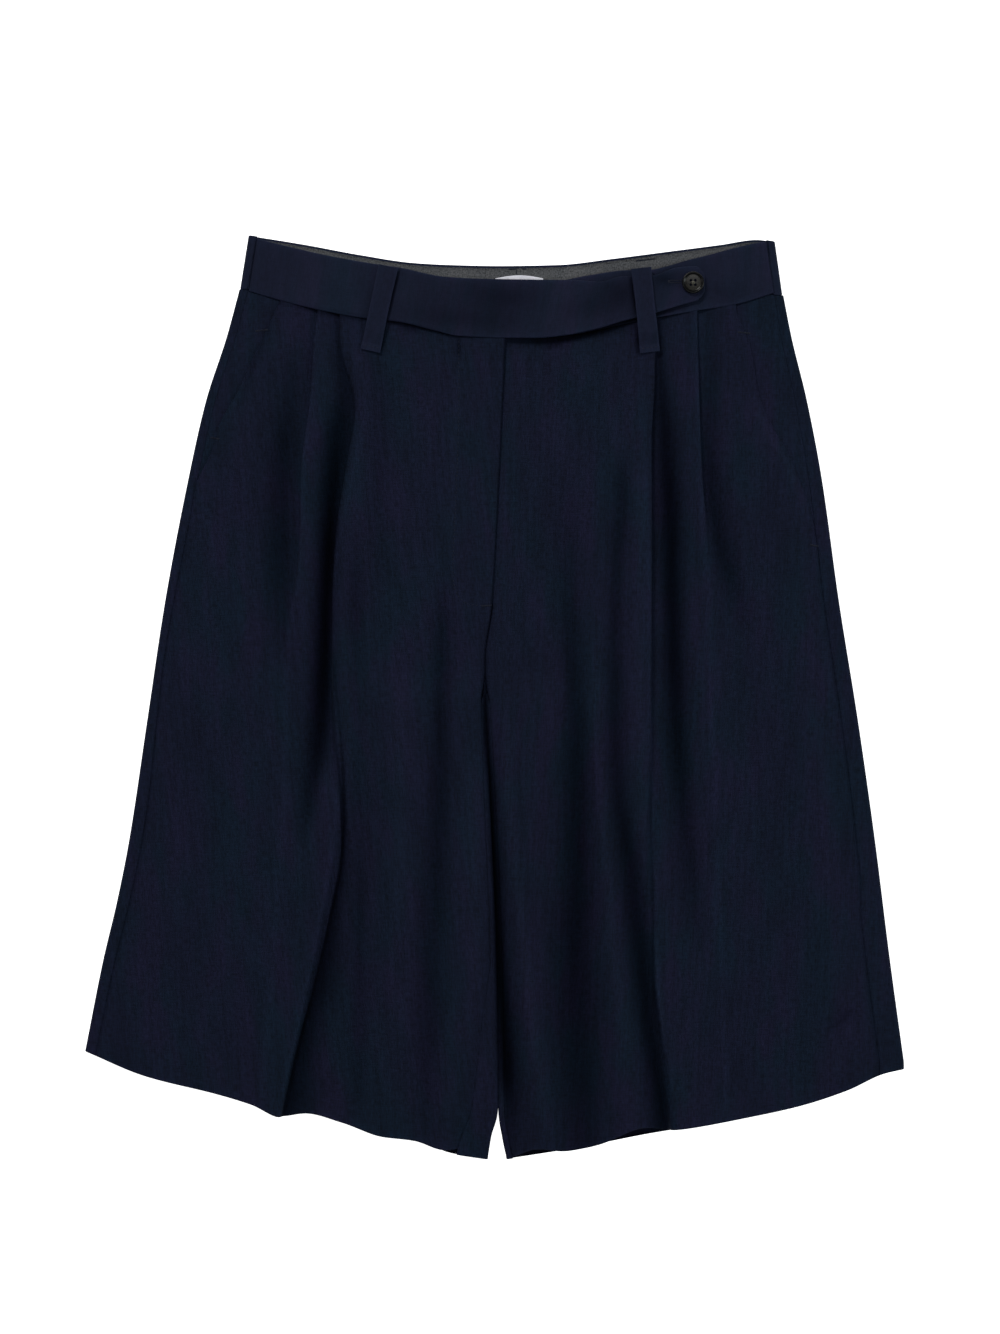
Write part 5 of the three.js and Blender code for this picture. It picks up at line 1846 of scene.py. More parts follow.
BAND_LEFT = FrontBand(
    (-26, 272.6, 7.2, 7.2), (30, 272, 7.2, 7.2), (60, 277, 7.2, 7.2), (88, 280.8, 8, 7.2),
    (102, 281, 8.9, 7.4), (113.9, 283.5, 8.8, 7.2), (127, 287.4, 8.9, 6.8), (140.3, 290.7, 8.2, 6.4),
    (157.4, 295.4, 6.6, 6), (175.2, 299.3, 5.9, 5.9), (183.2, 300, 5.9, 5.9),
)
LEGS_MEET = Curve((CROTCH_Y, -6.3), (-63, -3.3), (-165, 1.0), (-255, 2.4), (-303, 2.4))
LAYOUT = Layout(FRONT_WAIST, BACK_TOP, CENTRE_FRONT, TAB_LOWER, LEGS_MEET)
RIGHT_LEG = Leg(
    layout=LAYOUT,
    inward=1,
    grain_lean=0.08,
    pocket_end=143,
    outline=Curve(
        (270, -167.4), (236, -176.6), (196, -189.8), (144, -201.6), (64, -216.8), (-15, -228.7),
        (-94, -240.6), (-134, -248.5), (-173, -257.7), (-233, -269.6),
    ),
    seam_inset=Curve((270, 6), (104, 6.5), (25, 5.5), (-80, 8.8), (-233, 7.5)),
    pocket=Curve(
        (261, -141), (242.5, -149.5), (222.8, -159), (201.6, -168.6), (178.5, -181.2), (170, -183),
        (143, -195.2),
    ),
    inner_outline=Curve(
        (CROTCH_Y, -6.7), (-63, -3.7), (-165, 0.6), (-255, 1.9), (-272, 1), (-290, -2.3), (-303, -4.4),
    ),
    inseam_inset=Curve((CROTCH_Y, 1), (-40, 2), (-170, 2.6), (-217, 9), (-298, 19)),
    hem=Curve(
        (-269.6, -232.7), (-231, -248.5), (-184, -260.4), (-160, -267.6), (-140, -275.6), (-124, -273.6),
        (-100.7, -278.9), (-76.9, -286.8), (-53, -290.7), (-29.4, -300), (-5.6, -303.9),
    ),
    inner_height=Curve(
        (238, 9.4), (205, 6.2), (150, 5.5), (FLY_END_Y, 5.5), (30, 4.3), (CROTCH_Y, 3.7), (-303, 3.6),
    ),
    swell=Swell(
        (262, 0, -1.6), (190, 1.4, 0), (100, 2.6, 0.6), (0, 1.6, 1.2), (-150, 1.6, 2), (-300, 1.2, 2.2),
    ),
    outer_pleat=Pleat(
        (256, -115.5, 180, 10, 3.8, -11.5), (235, -118, 178, 9, 3.8, -9), (198, -120.5, 160, 5.5, 3, -4),
        (147, -126.4, 125, 3.4, 3.4, 0), (108, -127, 105, 2.8, 3.6, 0), (79, -129, 80, 2.4, 4, 0),
        (52, -133.7, 42, 2.4, 4.8, 0), (10, -138, 8, 2.4, 5.8, 0), (-80, -142, 2, 2.4, 6.6, 2),
        (-300, -158, 2, 2.4, 6.4, 4),
    ),
    inner_pleat=Pleat(
        (252, -101.3, 180, 10, 4.4, -11.5), (236, -101.3, 180, 9.5, 4.1, -9),
        (190, -91, 160, 6.5, 2.8, -4), (157, -96, 145, 5.4, 2.6, 0), (103, -104, 125, 4.4, 2.6, 0),
        (64, -105.6, 110, 4, 2.6, 0), (0, -104.6, 75, 4, 2.8, 0), (-37, -102, 42, 4, 4.6, 4),
        (-60, -100.4, 8, 4, 7.6, 4), (-80, -104.4, -24, 4, 8.9, 4), (-99, -106.6, -45, 4, 9.4, 4),
        (-152, -115.6, -62, 4, 9.6, 4), (-223, -130.6, -75, 3.8, 9.6, 4), (-303, -148, -78, 3.6, 9.2, 4),
    ),
    soft_folds=(
        SoftFold(  # inner trough beside the crease
            9, (120, -84, 0), (50, -90, -1.8), (-60, -86, -0.8), (-254, -90, -0.5),
        ),
        SoftFold(  # light ridge mid panel
            9, (60, -66, 0), (0, -62.7, 1.6), (-101, -64, 2), (-300, -74, 1.6),
        ),
        SoftFold(  # long dark trough
            9.5, (70, -36, 0), (20, -36, -1.8), (-75, -36, -2.4), (-211, -43, -2.4), (-300, -48, -1.4),
        ),
    ),
)
LEFT_LEG = Leg(
    layout=LAYOUT,
    inward=-1,
    grain_lean=-0.03,
    pocket_end=101,
    outline=Curve(
        (268, 189.4), (236, 195.7), (196, 205.6), (144, 215.5), (64, 226.7), (-15, 239.3), (-94, 250.5),
        (-173, 260.4), (-240, 269.6),
    ),
    seam_inset=Curve((268, 6), (236, 7.2), (100, 9.7), (-114, 13), (-152, 16), (-240, 16.5)),
    pocket=Curve(
        (254, 158.7), (228.7, 168.6), (201.6, 173.5), (176.6, 183.8), (159.4, 193.7), (135.6, 203.6),
        (118, 209), (101, 211.9),
    ),
    inner_outline=Curve(
        (CROTCH_Y, -5.9), (-63, -2.9), (-165, 1.4), (-255, 2.9), (-278, 3.5), (-290, 5), (-303, 7.8),
    ),
    inseam_inset=Curve((CROTCH_Y, 1), (-40, 2), (-303, 2.4)),
    hem=Curve(
        (8.3, -303.9), (53.8, -296.7), (101.3, -287.4), (148.8, -279.5), (196.4, -269.6), (232, -258.4),
        (255.7, -247.8), (269.6, -244.5),
    ),
    inner_height=Curve((238, 5.6), (200, 3.9), (FLY_END_Y, 3.9), (30, 3.9), (CROTCH_Y, 3.7), (-303, 3.6)),
    swell=Swell(
        (262, 0, -1), (190, 1.4, 0), (100, 2.2, 0.8), (0, 1.8, 1.6), (-150, 1.8, 2), (-300, 1.2, 2.2),
    ),
    outer_pleat=Pleat(
        (254, 132.7, 180, 10, 3.8, -11.5), (235, 133, 176, 8, 3.8, -9), (206, 133.7, 158, 5, 3, -4),
        (147, 135.6, 118, 3, 3.6, 0), (118, 137.6, 85, 2.6, 4.2, 0), (74, 140, 30, 2.4, 5.2, 0),
        (20, 143, 6, 2.4, 6, 1), (-300, 156, 2, 2.4, 6.4, 4),
    ),
    inner_pleat=Pleat(
        (249, 105.9, 180, 10, 4.4, -11.5), (235, 105.4, 178, 9, 4.1, -9), (206, 104.6, 160, 6.5, 3, -4),
        (165, 102.6, 140, 5, 2.6, 0), (104, 102.6, 122, 4.4, 2.6, 0), (53, 102.4, 110, 4, 2.6, 0),
        (-20, 101.4, 88, 4, 2.8, 0), (-70, 99.9, 64, 4, 3.6, 2), (-102, 97.5, 34, 4, 6, 4),
        (-132, 102.5, 2, 4, 8.3, 4), (-165, 105, -42, 4, 9.5, 4), (-211, 108.5, -66, 4, 9.8, 4),
        (-300, 119, -78, 3.6, 9.4, 4),
    ),
    soft_folds=(
        SoftFold(  # trough inside the crease
            8, (190, 84, 0), (128, 83.5, -1.6), (64, 79, -1.8), (-12, 78, -2), (-75, 82, -1.8),
            (-120, 89, 0),
        ),
        SoftFold(  # ridge inside that trough
            7, (40, 66, 0), (-12, 67, 1.2), (-89, 71, 1.8), (-165, 77, 1.8), (-300, 90, 1),
        ),
        SoftFold(  # wide long trough
            12, (60, 50, 0), (0, 52, -1.8), (-87, 54, -2.6), (-216, 54, -2.6), (-300, 57, -1.6),
        ),
        SoftFold(  # faint outer ridge
            9, (-40, 114, 0), (-127, 126, 1.2), (-190, 134, 1.2), (-240, 152, 0),
        ),
    ),
)
# Painted shade in the valley where the legs meet.
BETWEEN_LEGS_SHADE = FoldShade(
    (20, -6, 1, 1.5, 0), (-20, -5, 1.5, 2.5, 0.56), (-75, -2, 2, 5, 0.81), (-165, 3, 4, 6, 0.86),
    (-241, 7, 4, 9, 0.86), (-275, 9, 2, 9, 0.45), (-300, 10, 2, 8, 0.1),
)
# Painted shade in the right leg's troughs and beside its crease; a negative one paints light on a ridge.
RIGHT_SHADES = (
    FoldShade(
        (236, -130, 8, 6, 0), (200, -134, 10, 6, 0.28), (157, -139, 11, 8, 0.47),
        (109, -140, 12, 8, 0.47), (60, -141, 11, 8, 0.29), (15, -143, 10, 9, 0),
    ),
    FoldShade(
        (240, -104, 4, 3, 0.2), (205, -99, 7, 6, 0.45), (170.6, -104, 9, 9, 0.69),
        (128, -107, 8, 6, 0.74), (53, -110.5, 8, 6, 0.76), (-12, -113.5, 10, 8, 0.69),
        (-63, -121, 8, 6, 0.47), (-100, -126, 6, 5, 0),
    ),
    FoldShade(
        (-20, -105, 0.5, 2, 0), (-60, -101.5, 0.6, 3, 0.56), (-100, -100.5, 0.6, 4.5, 0.67),
        (-134, -106, 0.7, 7, 0.69), (-190, -118.5, 0.8, 13, 0.72), (-223, -128, 0.8, 14, 0.69),
        (-266, -138, 0.8, 17, 0.62), (-300, -147, 1, 16, 0.45),
    ),
    FoldShade(
        (120, -92, 5, 5, 0), (60, -91.7, 5, 6, 0.29), (20, -91, 5, 6, 0.18), (-60, -89, 5, 6, 0.12),
        (-140, -89, 6, 6, 0.27), (-250, -90, 6, 6, 0.2), (-285, -92, 6, 6, 0),
    ),
    FoldShade(
        (90, -34, 6, 8, 0), (26, -35.6, 6, 7, 0.4), (-75, -36.5, 8, 7, 0.45), (-150, -40.6, 10, 9, 0.38),
        (-211, -43, 10, 9, 0.34), (-290, -46, 10, 9, 0.1),
    ),
    FoldShade(
        (30, -62.7, 8, 8, 0), (-10, -62.7, 8, 8, -0.12), (-100, -63, 8, 8, -0.12), (-170, -66, 8, 8, 0),
    ),
    FoldShade(
        (-30, -11.5, 6, 6, 0), (-60, -11.5, 6, 6, -0.14), (-165, -12, 6, 6, -0.12), (-230, -14, 6, 6, 0),
    ),
    FoldShade((236, -80, 8, 8, 0.1), (190, -75, 8, 9, 0.16), (120, -78, 8, 9, 0.16), (60, -72, 8, 9, 0)),
)
# Painted shade in the left leg's troughs and beside its crease; a negative one paints light on a ridge.
LEFT_SHADES = (
    BETWEEN_LEGS_SHADE,
    FoldShade(
        (228, 141, 3, 7, 0.1), (170, 140, 3, 8, 0.38), (128, 143, 4, 9, 0.52), (100, 148, 6, 10, 0.49),
        (74, 156, 9, 9, 0.36), (38, 163, 9, 8, 0),
    ),
    FoldShade(
        (240, 108, 2, 3, 0.28), (213, 109, 3, 5, 0.5), (166, 112, 6, 9, 0.65), (128, 115.5, 8, 8, 0.74),
        (53, 117, 7, 8, 0.74), (-25, 120.5, 8, 8, 0.62), (-90, 126, 8, 7, 0.43), (-140, 132, 7, 7, 0.25),
        (-180, 136, 6, 6, 0),
    ),
    FoldShade(
        (170, 84, 5, 5, 0), (128, 83.5, 7, 6, 0.4), (64, 79, 5, 5, 0.38), (-12, 78.4, 7, 7, 0.47),
        (-63, 81.4, 8, 7, 0.54), (-114, 89.6, 10, 9, 0.63), (-165, 95.7, 9, 7, 0.62),
        (-216, 101.6, 8, 6, 0.63), (-267, 110.2, 9, 6, 0.63), (-300, 114, 9, 5, 0.56),
    ),
    FoldShade(
        (160, 96, 5, 5, 0), (120, 96, 4, 5, -0.14), (0, 95.5, 5, 4, -0.16), (-90, 97, 4, 3, -0.1),
        (-130, 100, 3, 2, 0),
    ),
    FoldShade(
        (20, 67, 5, 5, 0), (-12, 67.3, 5, 5, -0.12), (-89, 72, 5, 5, -0.14), (-165, 77.2, 7, 6, -0.14),
        (-216, 87.1, 6, 5, -0.12), (-260, 92, 5, 5, 0),
    ),
    FoldShade(
        (150, 46, 8, 8, 0), (90, 48, 8, 8, 0.2), (1, 52, 8, 8, 0.47), (-63, 54, 12, 11, 0.58),
        (-114, 54, 13, 12, 0.62), (-165, 52.8, 15, 15, 0.62), (-216, 53.8, 18, 18, 0.58),
        (-267, 56.4, 16, 17, 0.49), (-300, 57, 15, 15, 0.4),
    ),
    FoldShade(
        (0, 8, 3, 3, 0), (-40, 8, 3, 3, -0.16), (-110, 12.5, 3.5, 4, -0.18), (-152, 17, 4, 4, -0.18),
        (-229, 27, 5, 5, -0.16), (-290, 34, 5, 5, 0),
    ),
)
# Painted shade on the right band: broad across it, and fine along the loops' edges and its lower edge.
RIGHT_BAND_SHADES = (
    Wrinkle(9, 0.3, (40, 254), (72, 258), (104, 268)),
    Wrinkle(7, 0.25, (66, 278), (78, 268), (88, 262)),
    Wrinkle(6, 0.22, (97, 276), (108, 274), (122, 277)),
    Wrinkle(11, 0.22, (-50, 268), (-10, 262), (40, 262)),
    Wrinkle(8, 0.3, (-72, 254), (-40, 250), (0, 247), (30, 246)),
    Wrinkle(7, 0.2, (-20, 268), (10, 262), (36, 266)),
    Wrinkle(1.4, 0.7, (-61.6, 286), (-62.6, 282), (-72.6, 243), (-73.6, 240)),
    Wrinkle(1.8, 0.8, (88.4, 284), (89.2, 280), (94.0, 246), (94.4, 243)),
    Wrinkle(2.4, 0.45, (58, 275), (75, 278), (90, 282)),
    Wrinkle(4, 0.3, (103, 279), (112, 274), (120, 273)),
    Wrinkle(
        1.2, 0.3, (-164, 269.4), (-142.6, 261.8), (-116.8, 255.4), (-86.8, 250), (-43.9, 242.4),
        (-24.6, 238.2), (0, 236.8),
    ),
)
# Painted shade on the left band, such as the shadow under the tab.
LEFT_BAND_SHADES = (
    Wrinkle(6, 0.2, (138, 270), (152, 264), (166, 268)),
    Wrinkle(3, 0.35, (98, 284), (112, 287), (130, 289)),
    Wrinkle(
        2.4, 0.85, (44, 236), (52, 237.8), (69.6, 241.6), (82.8, 245.6), (104, 250.8), (119, 255.4),
        (131, 258.6),
    ),
)
# Lines of painted shade where the legs meet.
LEGS_SHADE_LINES = (
    Wrinkle(2.0, 0.7, (-4.4, 30), (-6.1, 17), (-6.8, -3), (-6.0, -24), (-4.6, -42), (-3.0, -60)),
    Wrinkle(
        1.7, 0.75, (-6.8, -3), (-6.0, -24), (-4.2, -50), (-2.2, -80), (-0.8, -110), (0.9, -160),
        (1.8, -200), (2.4, -255), (2.6, -266),
    ),
)
# Lines of painted shade under the band and loops, beside the creases and where the legs meet; a negative one
# paints light.
RIGHT_PAINTED_SHADE_LINES = LEGS_SHADE_LINES + (
    Wrinkle(1.5, 0.6, (-71, 246), (-73, 240), (-75, 228), (-75.5, 225)),
    Wrinkle(
        5.0, 0.4, (-108, 165), (-110, 143.6), (-110.6, 104), (-111.9, 61), (-114.5, 11.6), (-116.5, -38),
        (-119, -62),
    ),
    Wrinkle(
        0.9, -0.45, (-98.2, 133.7), (-103.8, 94), (-106.2, 61), (-106.2, 14.9), (-102.6, -21.5),
        (-100.6, -46), (-100.4, -70),
    ),
    Wrinkle(
        1.5, 0.62, (-164, 268), (-142.6, 260.4), (-116.8, 254), (-86.8, 248.6), (-69.6, 247.4),
        (-43.9, 241), (-24.6, 236.8), (-4, 235.4),
    ),
    Wrinkle(2.6, 0.3, (-143, 258), (-150, 240), (-158, 222), (-170, 187)),
    Wrinkle(2.2, 0.5, (-149, 262.4), (-143, 260.2), (-138, 258.8)),
    Wrinkle(2.0, 0.45, (-118, 254.4), (-112, 252.8), (-106, 251.6)),
    Wrinkle(2.2, 0.5, (-64, 246), (-55, 243.4), (-47, 241.4)),
    Wrinkle(1.2, 0.65, (-23.6, 236.2), (-23.4, 231), (-23.4, 223)),
    Wrinkle(3.0, -0.14, (-25.8, 222), (-25.8, 180), (-27.4, 138), (-29.6, 92)),
    Wrinkle(2.4, -0.16, (-147, 252), (-154.5, 234), (-164, 208), (-172, 187)),
    Wrinkle(
        1.5, 0.6, (-104.2, 30), (-104.0, 0), (-101.0, -24), (-99.0, -50), (-98.8, -84), (-101.2, -110),
        (-106.2, -135.6), (-111.8, -160), (-117.4, -182.5), (-127.6, -225), (-139.4, -269.6),
    ),
)
# Lines of painted shade, such as the shadow under the tab, beside the loop and along the crease; a negative
# one paints light.
LEFT_PAINTED_SHADE_LINES = (
    Wrinkle(
        3.3, 0.95, (2, 235.0), (8, 234.8), (30, 234.9), (46, 236.3), (57, 238.7), (67, 241.1),
        (80, 244.3), (93, 247.7), (104, 249.3),
    ),
    Wrinkle(2.0, 0.4, (126, 255.2), (131, 257), (137, 259)),
    Wrinkle(2.2, 0.4, (158, 262.4), (165, 263.9), (171, 265)),
    Wrinkle(1.8, 0.35, (30, 231), (38, 231.4), (45, 232.4)),
    Wrinkle(1.5, 0.55, (107, 249.5), (120, 253.5), (136, 259), (160, 263.2), (185, 267)),
    Wrinkle(2.0, 0.8, (93, 247), (93.8, 242), (95.0, 228), (95.4, 223)),
    Wrinkle(2.2, -0.2, (166, 203), (180, 173), (190, 158), (200, 135), (208, 117)),
    Wrinkle(3, 0.28, (219, -217), (228, -212), (237, -203)),
    Wrinkle(
        1.3, 0.42, (102.4, -30), (102.5, -73), (103.3, -118), (104.1, -144), (104.5, -185), (108.1, -214),
        (116.1, -264), (118.4, -277),
    ),
    Wrinkle(1.0, -0.4, (104.6, -134), (105.8, -160), (106.6, -188), (110.2, -215), (118.2, -264)),
) + LEGS_SHADE_LINES
# Painted shade in the grooves of the side and inner seams, along the leg.
SIDE_SEAM_SHADE = Curve((240, 0.02), (150, 0.08), (60, 0.22), (-303, 0.22))
INNER_SEAM_SHADE = Curve((240, 0.5), (30, 0.55), (16, 0.3), (5, 0), (-200, 0), (-235, 0.3), (-303, 0.3))
RIGHT_BAND_DENTS = (
    Wrinkle(7, -0.5, (-62, 262), (-48, 256), (-30, 254)),
    Wrinkle(6, 0.4, (-128, 282), (-104, 272), (-88, 270)),
    Wrinkle(6, -0.5, (52, 262), (72, 262), (92, 268)),
    Wrinkle(5, 0.35, (10, 262), (36, 258), (60, 254)),
    Wrinkle(9, -0.4, (-20, 268), (0, 262), (22, 264)),
)
LEFT_BAND_DENTS = (
    Wrinkle(6, 0.4, (146, 282), (160, 276), (176, 276)),
    Wrinkle(5, -0.4, (138, 270), (152, 264), (166, 268)),
)
RIGHT_FRONT_DRESS = Dress(
    folds=(
        SoftFold(6, (-20, -10, 0), (-70, -11.5, 0.9), (-165, -12, 0.9), (-230, -14, 0)),
        SoftFold(
            7, (200, -150, 0), (120, -163, -0.5), (20, -176, -0.9), (-120, -190, -0.5), (-230, -205, 0),
        ),
        SoftFold(9, (60, -196, 0), (-40, -206, 0.7), (-140, -216, 0.5), (-225, -224, 0)),
    ),
    wrinkles=(
        Wrinkle(4, -0.45, (-60, 225), (-52, 196), (-56, 160)),
        Wrinkle(5, 0.4, (-44, 214), (-40, 176), (-46, 140)),
        Wrinkle(4, -0.35, (-150, 212), (-146, 186), (-152, 160)),
        Wrinkle(6, 0.45, (-80, 118), (-70, 84), (-72, 40)),
        Wrinkle(5, -0.4, (-36, 96), (-24, 70), (-12, 58)),
        Wrinkle(5, 0.35, (-216, -186), (-196, -206), (-170, -214)),
        Wrinkle(4, -0.3, (-240, -206), (-214, -222), (-190, -232)),
    ),
    reveals=(Reveal(-22, 11, 4.2),),
    shades=RIGHT_SHADES,
    painted_shade_lines=RIGHT_PAINTED_SHADE_LINES,
)
LEFT_FRONT_DRESS = Dress(
    folds=(
        SoftFold(5, (30, 3, 0), (-30, 4, 0.9), (-110, 12, 0.9), (-190, 20, 1.0), (-290, 30, 0.5)),
        SoftFold(7, (40, 26, 0), (-30, 28, -0.8), (-150, 33, -0.8), (-270, 40, -0.4)),
        SoftFold(7, (190, 180, 0), (110, 178, -0.5), (10, 184, -0.8), (-120, 196, -0.5), (-230, 208, 0)),
        SoftFold(9, (40, 206, 0), (-50, 212, 0.7), (-150, 222, 0.5), (-230, 232, 0)),
    ),
    wrinkles=(
        Wrinkle(4, -0.6, (214, -196), (226, -208), (243, -219)),
        Wrinkle(4, 0.5, (210, -202), (224, -215), (240, -228)),
        Wrinkle(6, -0.4, (30, 226), (44, 190), (46, 150)),
        Wrinkle(5, 0.4, (62, 220), (66, 180), (60, 140)),
        Wrinkle(5, 0.35, (14, 190), (20, 140), (14, 90)),
        Wrinkle(4, -0.35, (122, 226), (118, 200), (116, 176)),
        Wrinkle(5, 0.4, (150, 170), (160, 120), (164, 60)),
    ),
    reveals=(Reveal(94, 17, 5.2), Reveal(27, 13, 4.6)),
    shades=LEFT_SHADES,
    painted_shade_lines=LEFT_PAINTED_SHADE_LINES,
)
RIGHT_BACK_DRESS = Dress(
    wrinkles=(
        Wrinkle(5, 0.7, (-98, 120), (-104, 0), (-116, -130), (-132, -250)),
        Wrinkle(8, 0.5, (-50, 60), (-54, -60), (-60, -200)),
        Wrinkle(9, 0.5, (-160, 150), (-176, 0), (-196, -170)),
    ),
    painted_shade_lines=LEGS_SHADE_LINES,
    # painted shadow of the front's lifted hem on the back's hem
    hem_shades=(Wrinkle(4, 0.85, (-44, -295), (-29.4, -300), (-8, -304)),),
)
LEFT_BACK_DRESS = Dress(
    wrinkles=(
        Wrinkle(5, 0.7, (110, 120), (114, 0), (124, -130), (136, -260)),
        Wrinkle(8, 0.5, (56, 40), (58, -80), (66, -220)),
        Wrinkle(9, 0.5, (176, 140), (190, 0), (208, -190)),
    ),
    shades=(BETWEEN_LEGS_SHADE,),
    painted_shade_lines=LEGS_SHADE_LINES,
    # painted shadow of the front's lifted hem on the back's hem
    hem_shades=(
        Wrinkle(4, 0.85, (4, -304.5), (26, -301), (52, -297)),
        Wrinkle(4, 0.85, (62, -295), (93, -289), (124, -283.6)),
    ),
)
FLY_STITCH = StitchLine("FlyTopstitch", (
    (-23.4, 234.5), (-23.4, 196.4), (-25.0, 138.9), (-27.2, 90.0), (-27.4, 81.5), (-26.2, 72.0),
    (-22.5, 65.0), (-16.5, 61.2), (-8.0, 60.4), (-2.0, 60.6),
), Slot.SUITING)
BARTACKS = (
    Bartack("FlyBartack", (-8.5, 60.2), (-2.2, 60.6)),
    Bartack("RightPocketBartackTop", (-157.0, 241.0), (-149.0, 241.6)),
    Bartack("RightPocketBartackFoot", (-186.5, 171.0), (-181.0, 170.0)),
    Bartack("LeftPocketBartackTop", (160.0, 240.0), (168.0, 239.4)),
    Bartack("LeftPocketBartackFoot", (207.5, 100.4), (213.0, 99.4)),
)
BAND_STITCHES = (
    StitchLine("RightLoopFootStitch", ((-86.0, 231.5), (-75.8, 229.3))),
    StitchLine("LeftLoopFootStitch", ((96.5, 228.9), (106.8, 230.1))),
    StitchLine("CentreBackSeamStitch", ((14.6, 282.0), (14.6, 276.6)), length=1.9, gap=0.2, radius=0.28),
)
BAND_TACKS = (
    Bartack("CentreLoopTackRight", (9.6, 281.9), (13.8, 281.9), Slot.WAISTBAND),
    Bartack("CentreLoopTackLeft", (18.4, 282.0), (21.2, 282.0), Slot.WAISTBAND),
    Bartack("LeftLoopTack", (93.4, 287.2), (105.6, 288.6), Slot.WAISTBAND, width=1.2),
)


@dataclass(frozen=True)
class FrontLoop:
    """A front loop's cut and where its middle starts above the band and ends below it."""

    cut: Cut
    top: Point
    foot: Point


LOOP_FLAT, BACK_LOOP_FLAT = (0.0133, 0.0585), (0.0133, 0.0445)
FRONT_LOOPS = (
    FrontLoop(Cut("RightFrontLoop", "belt_loop_front_right", LOOP_FLAT, rests_on=("waistband_right",),
                  slot=Slot.WAISTBAND), (-69.6, 283.0), (-81.5, 227.5)),
    FrontLoop(Cut("LeftFrontLoop", "belt_loop_front_left", LOOP_FLAT, rests_on=("waistband_right",),
                  slot=Slot.WAISTBAND), (96.0, 281.5), (102.0, 226.5)),
)
BACK_LOOP_X = {"right": -69.6, "centre": BACK_CENTRE_X, "left": 99.0}
BACK_BAND = Cut(
    "BackBand", "waistband_back", (0.0355, 0.362), None, ("belt_loop_back_centre",), Slot.WAISTBAND)
BAND_FACING = Cut("BandFacing", "waistband_facing", (0.033, 0.329), None, ("waistband_back",), Slot.FACING)
LABEL = Cut("Label", "label", (0.020, 0.0314), None, ("waistband_facing",), Slot.LABEL)
LEFT_BAND = Cut("LeftBand", "waistband_left", (0.0355, 0.211), None, ("waistband_facing",), Slot.WAISTBAND)
RIGHT_BAND = Cut("RightBand", "waistband_right", (0.0385, 0.308), None, ("waistband_left",), Slot.WAISTBAND)
UNDERLAP = Cut("FlyUnderlap", "fly_underlap", (0.025, 0.160))
ZIP_TAPE = Cut("FlyZipTape", "fly_zip", (0.021, 0.160), slot=Slot.ZIP_TAPE)
RIGHT_FRONT = Cut("RightFront", "front_right", (0.292, 0.556), 0.140, ("back_right",))
LEFT_FRONT = Cut("LeftFront", "front_left", (0.296, 0.552), 0.140, ("back_left",))
RIGHT_BACK = Cut("RightBack", "back_right", (0.305, 0.576), 0.148)
LEFT_BACK = Cut("LeftBack", "back_left", (0.310, 0.574), 0.148)
RIGHT_FACING = Cut("RightPocketFacing", "pocket_facing_right", (0.042, 0.121), 0.0044)
LEFT_FACING = Cut("LeftPocketFacing", "pocket_facing_left", (0.042, 0.160), 0.0056)
SOFTBOXES = (
    Softbox("KeyTopLeft", (-1.0, 2.0, 2.4), (0.7, 0.7), 55.0, (1.0, 0.99, 0.97)),
    Softbox("LeftStrip", (-2.4, 0.0, 1.3), (0.8, 2.2), 8.0, (1.0, 0.94, 1.0)),
    Softbox("RightStrip", (2.4, 0.0, 1.3), (0.8, 2.2), 31.0, (0.9, 1.0, 1.0)),
    Softbox("Overhead", (0.3, -0.2, 2.9), (1.6, 1.6), 17.0),
)


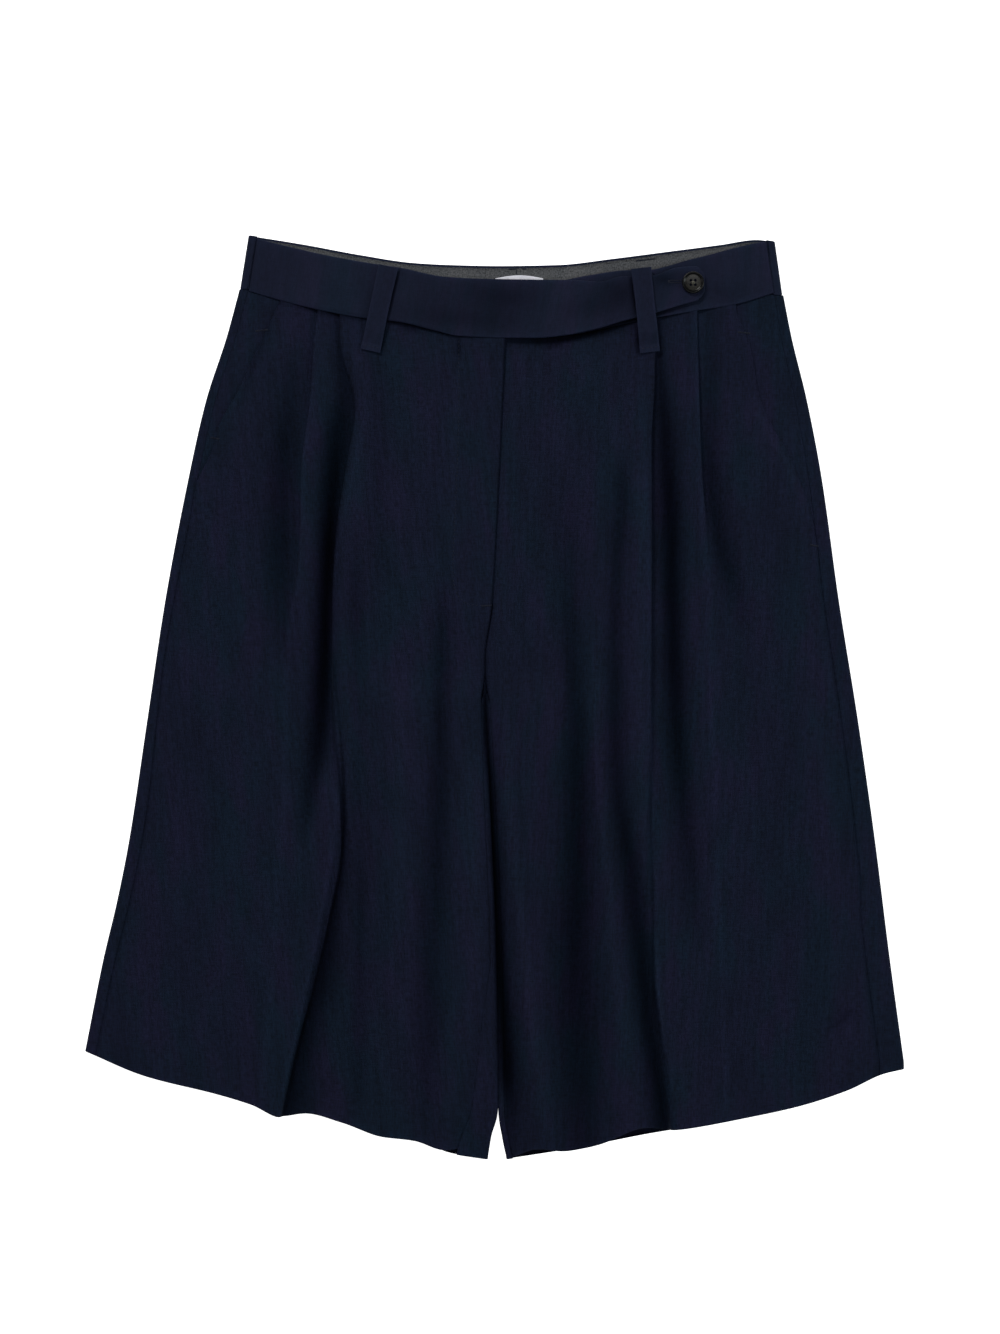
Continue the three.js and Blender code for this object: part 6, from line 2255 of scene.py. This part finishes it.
class Bermudas:
    """The whole garment."""

    UPPER_ROWS = 12  # rows of the solid panels down to the crotch; a pocket facing ends on one
    FACING_ROWS = {"right": 6, "left": 8}
    UNDERLAP_Z, ZIP_Z = 2.3, 3.9

    def __init__(self) -> None:
        """Builds the finishes and lays out the bands."""
        self.finishes = Wardrobe()
        self.bands = Waistband(LAYOUT, BAND_RIGHT, BAND_LEFT)

    def panels(self) -> list[Object]:
        """Makes the fronts, backs and pocket facings, the fronts first."""
        share = {side: rows_down / self.UPPER_ROWS for side, rows_down in self.FACING_ROWS.items()}
        pieces = (
            FrontPanel(RIGHT_LEG, RIGHT_FRONT, RIGHT_FRONT_DRESS),
            FrontPanel(LEFT_LEG, LEFT_FRONT, LEFT_FRONT_DRESS),
            BackPanel(RIGHT_LEG, RIGHT_BACK, RIGHT_BACK_DRESS),
            BackPanel(LEFT_LEG, LEFT_BACK, LEFT_BACK_DRESS),
            PocketFacing(RIGHT_LEG, RIGHT_FACING, share["right"]),
            PocketFacing(LEFT_LEG, LEFT_FACING, share["left"]),
        )
        return [piece.build(self.finishes.suiting) for piece in pieces]

    def trims(self) -> list[Object]:
        """Makes the bands, loops, fly strips and label."""
        finishes = self.finishes
        made = self.bands.build(finishes)
        loops = BeltLoops(LAYOUT, self.bands)
        for loop in FRONT_LOOPS:
            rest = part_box(loop.cut.node)[0].z / MM + loops.wall / 2
            made.append(loops.front(loop.cut, loop.top, loop.foot, rest, finishes.waistband))
        for side, x in BACK_LOOP_X.items():
            name, node = f"{side.capitalize()}BackLoop", f"belt_loop_back_{side}"
            cut = Cut(name, node, BACK_LOOP_FLAT, slot=Slot.WAISTBAND)
            made.append(loops.back(cut, x, finishes.waistband))
        underlap = FlyStrip(LAYOUT, UNDERLAP, FLY_UNDERLAP + 1, 25.0, self.UNDERLAP_Z)
        tape = FlyStrip(LAYOUT, ZIP_TAPE, FLY_UNDERLAP + SEAM_GAP, 21.0, self.ZIP_Z)
        return made + [underlap.build(finishes.suiting), tape.build(finishes.tape)]

    def details(self, cloth: list[Object]) -> list[Object]:
        """Makes the button, stitches, bartacks and buttonhole on the shown cloth.

        Args:
            cloth: pieces that stitches can lie on.

        Returns:
            The mesh objects.
        """
        finishes, button = self.finishes, Button()
        seat = float(self.bands.right.z_top(button.x)) + 1.0 + SEAM_GAP
        made = button.build(seat, finishes.horn, finishes.light_thread)
        stitching = Stitching(Surface(cloth), finishes.thread)
        made.append(stitching.line(FLY_STITCH))
        made += [stitching.bartack(spec) for spec in BARTACKS]
        made += [stitching.line(spec) for spec in BAND_STITCHES]
        made += [stitching.bartack(spec) for spec in BAND_TACKS]
        return made + [stitching.buttonhole(Buttonhole())]


def report(pieces: list[Object]) -> None:
    """Logs each piece with its triangles and, for a closed sheet, half its surface."""
    for piece in pieces:
        triangles = sum(len(face.vertices) - 2 for face in piece.data.polygons)
        area = sum(face.area for face in piece.data.polygons) / 2
        LOG.info("%s: %d triangles, %.4f square metres", piece.name, triangles, area)


def main() -> None:
    """Builds the garment and the studio in order."""
    logging.basicConfig(level=logging.INFO, format="%(name)s %(message)s")
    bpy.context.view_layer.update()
    shorts = Bermudas()
    panels = shorts.panels()
    trims = shorts.trims()
    report(panels + trims + shorts.details(panels + trims))
    Studio().build(SOFTBOXES)


if __name__ == "__main__":
    main()
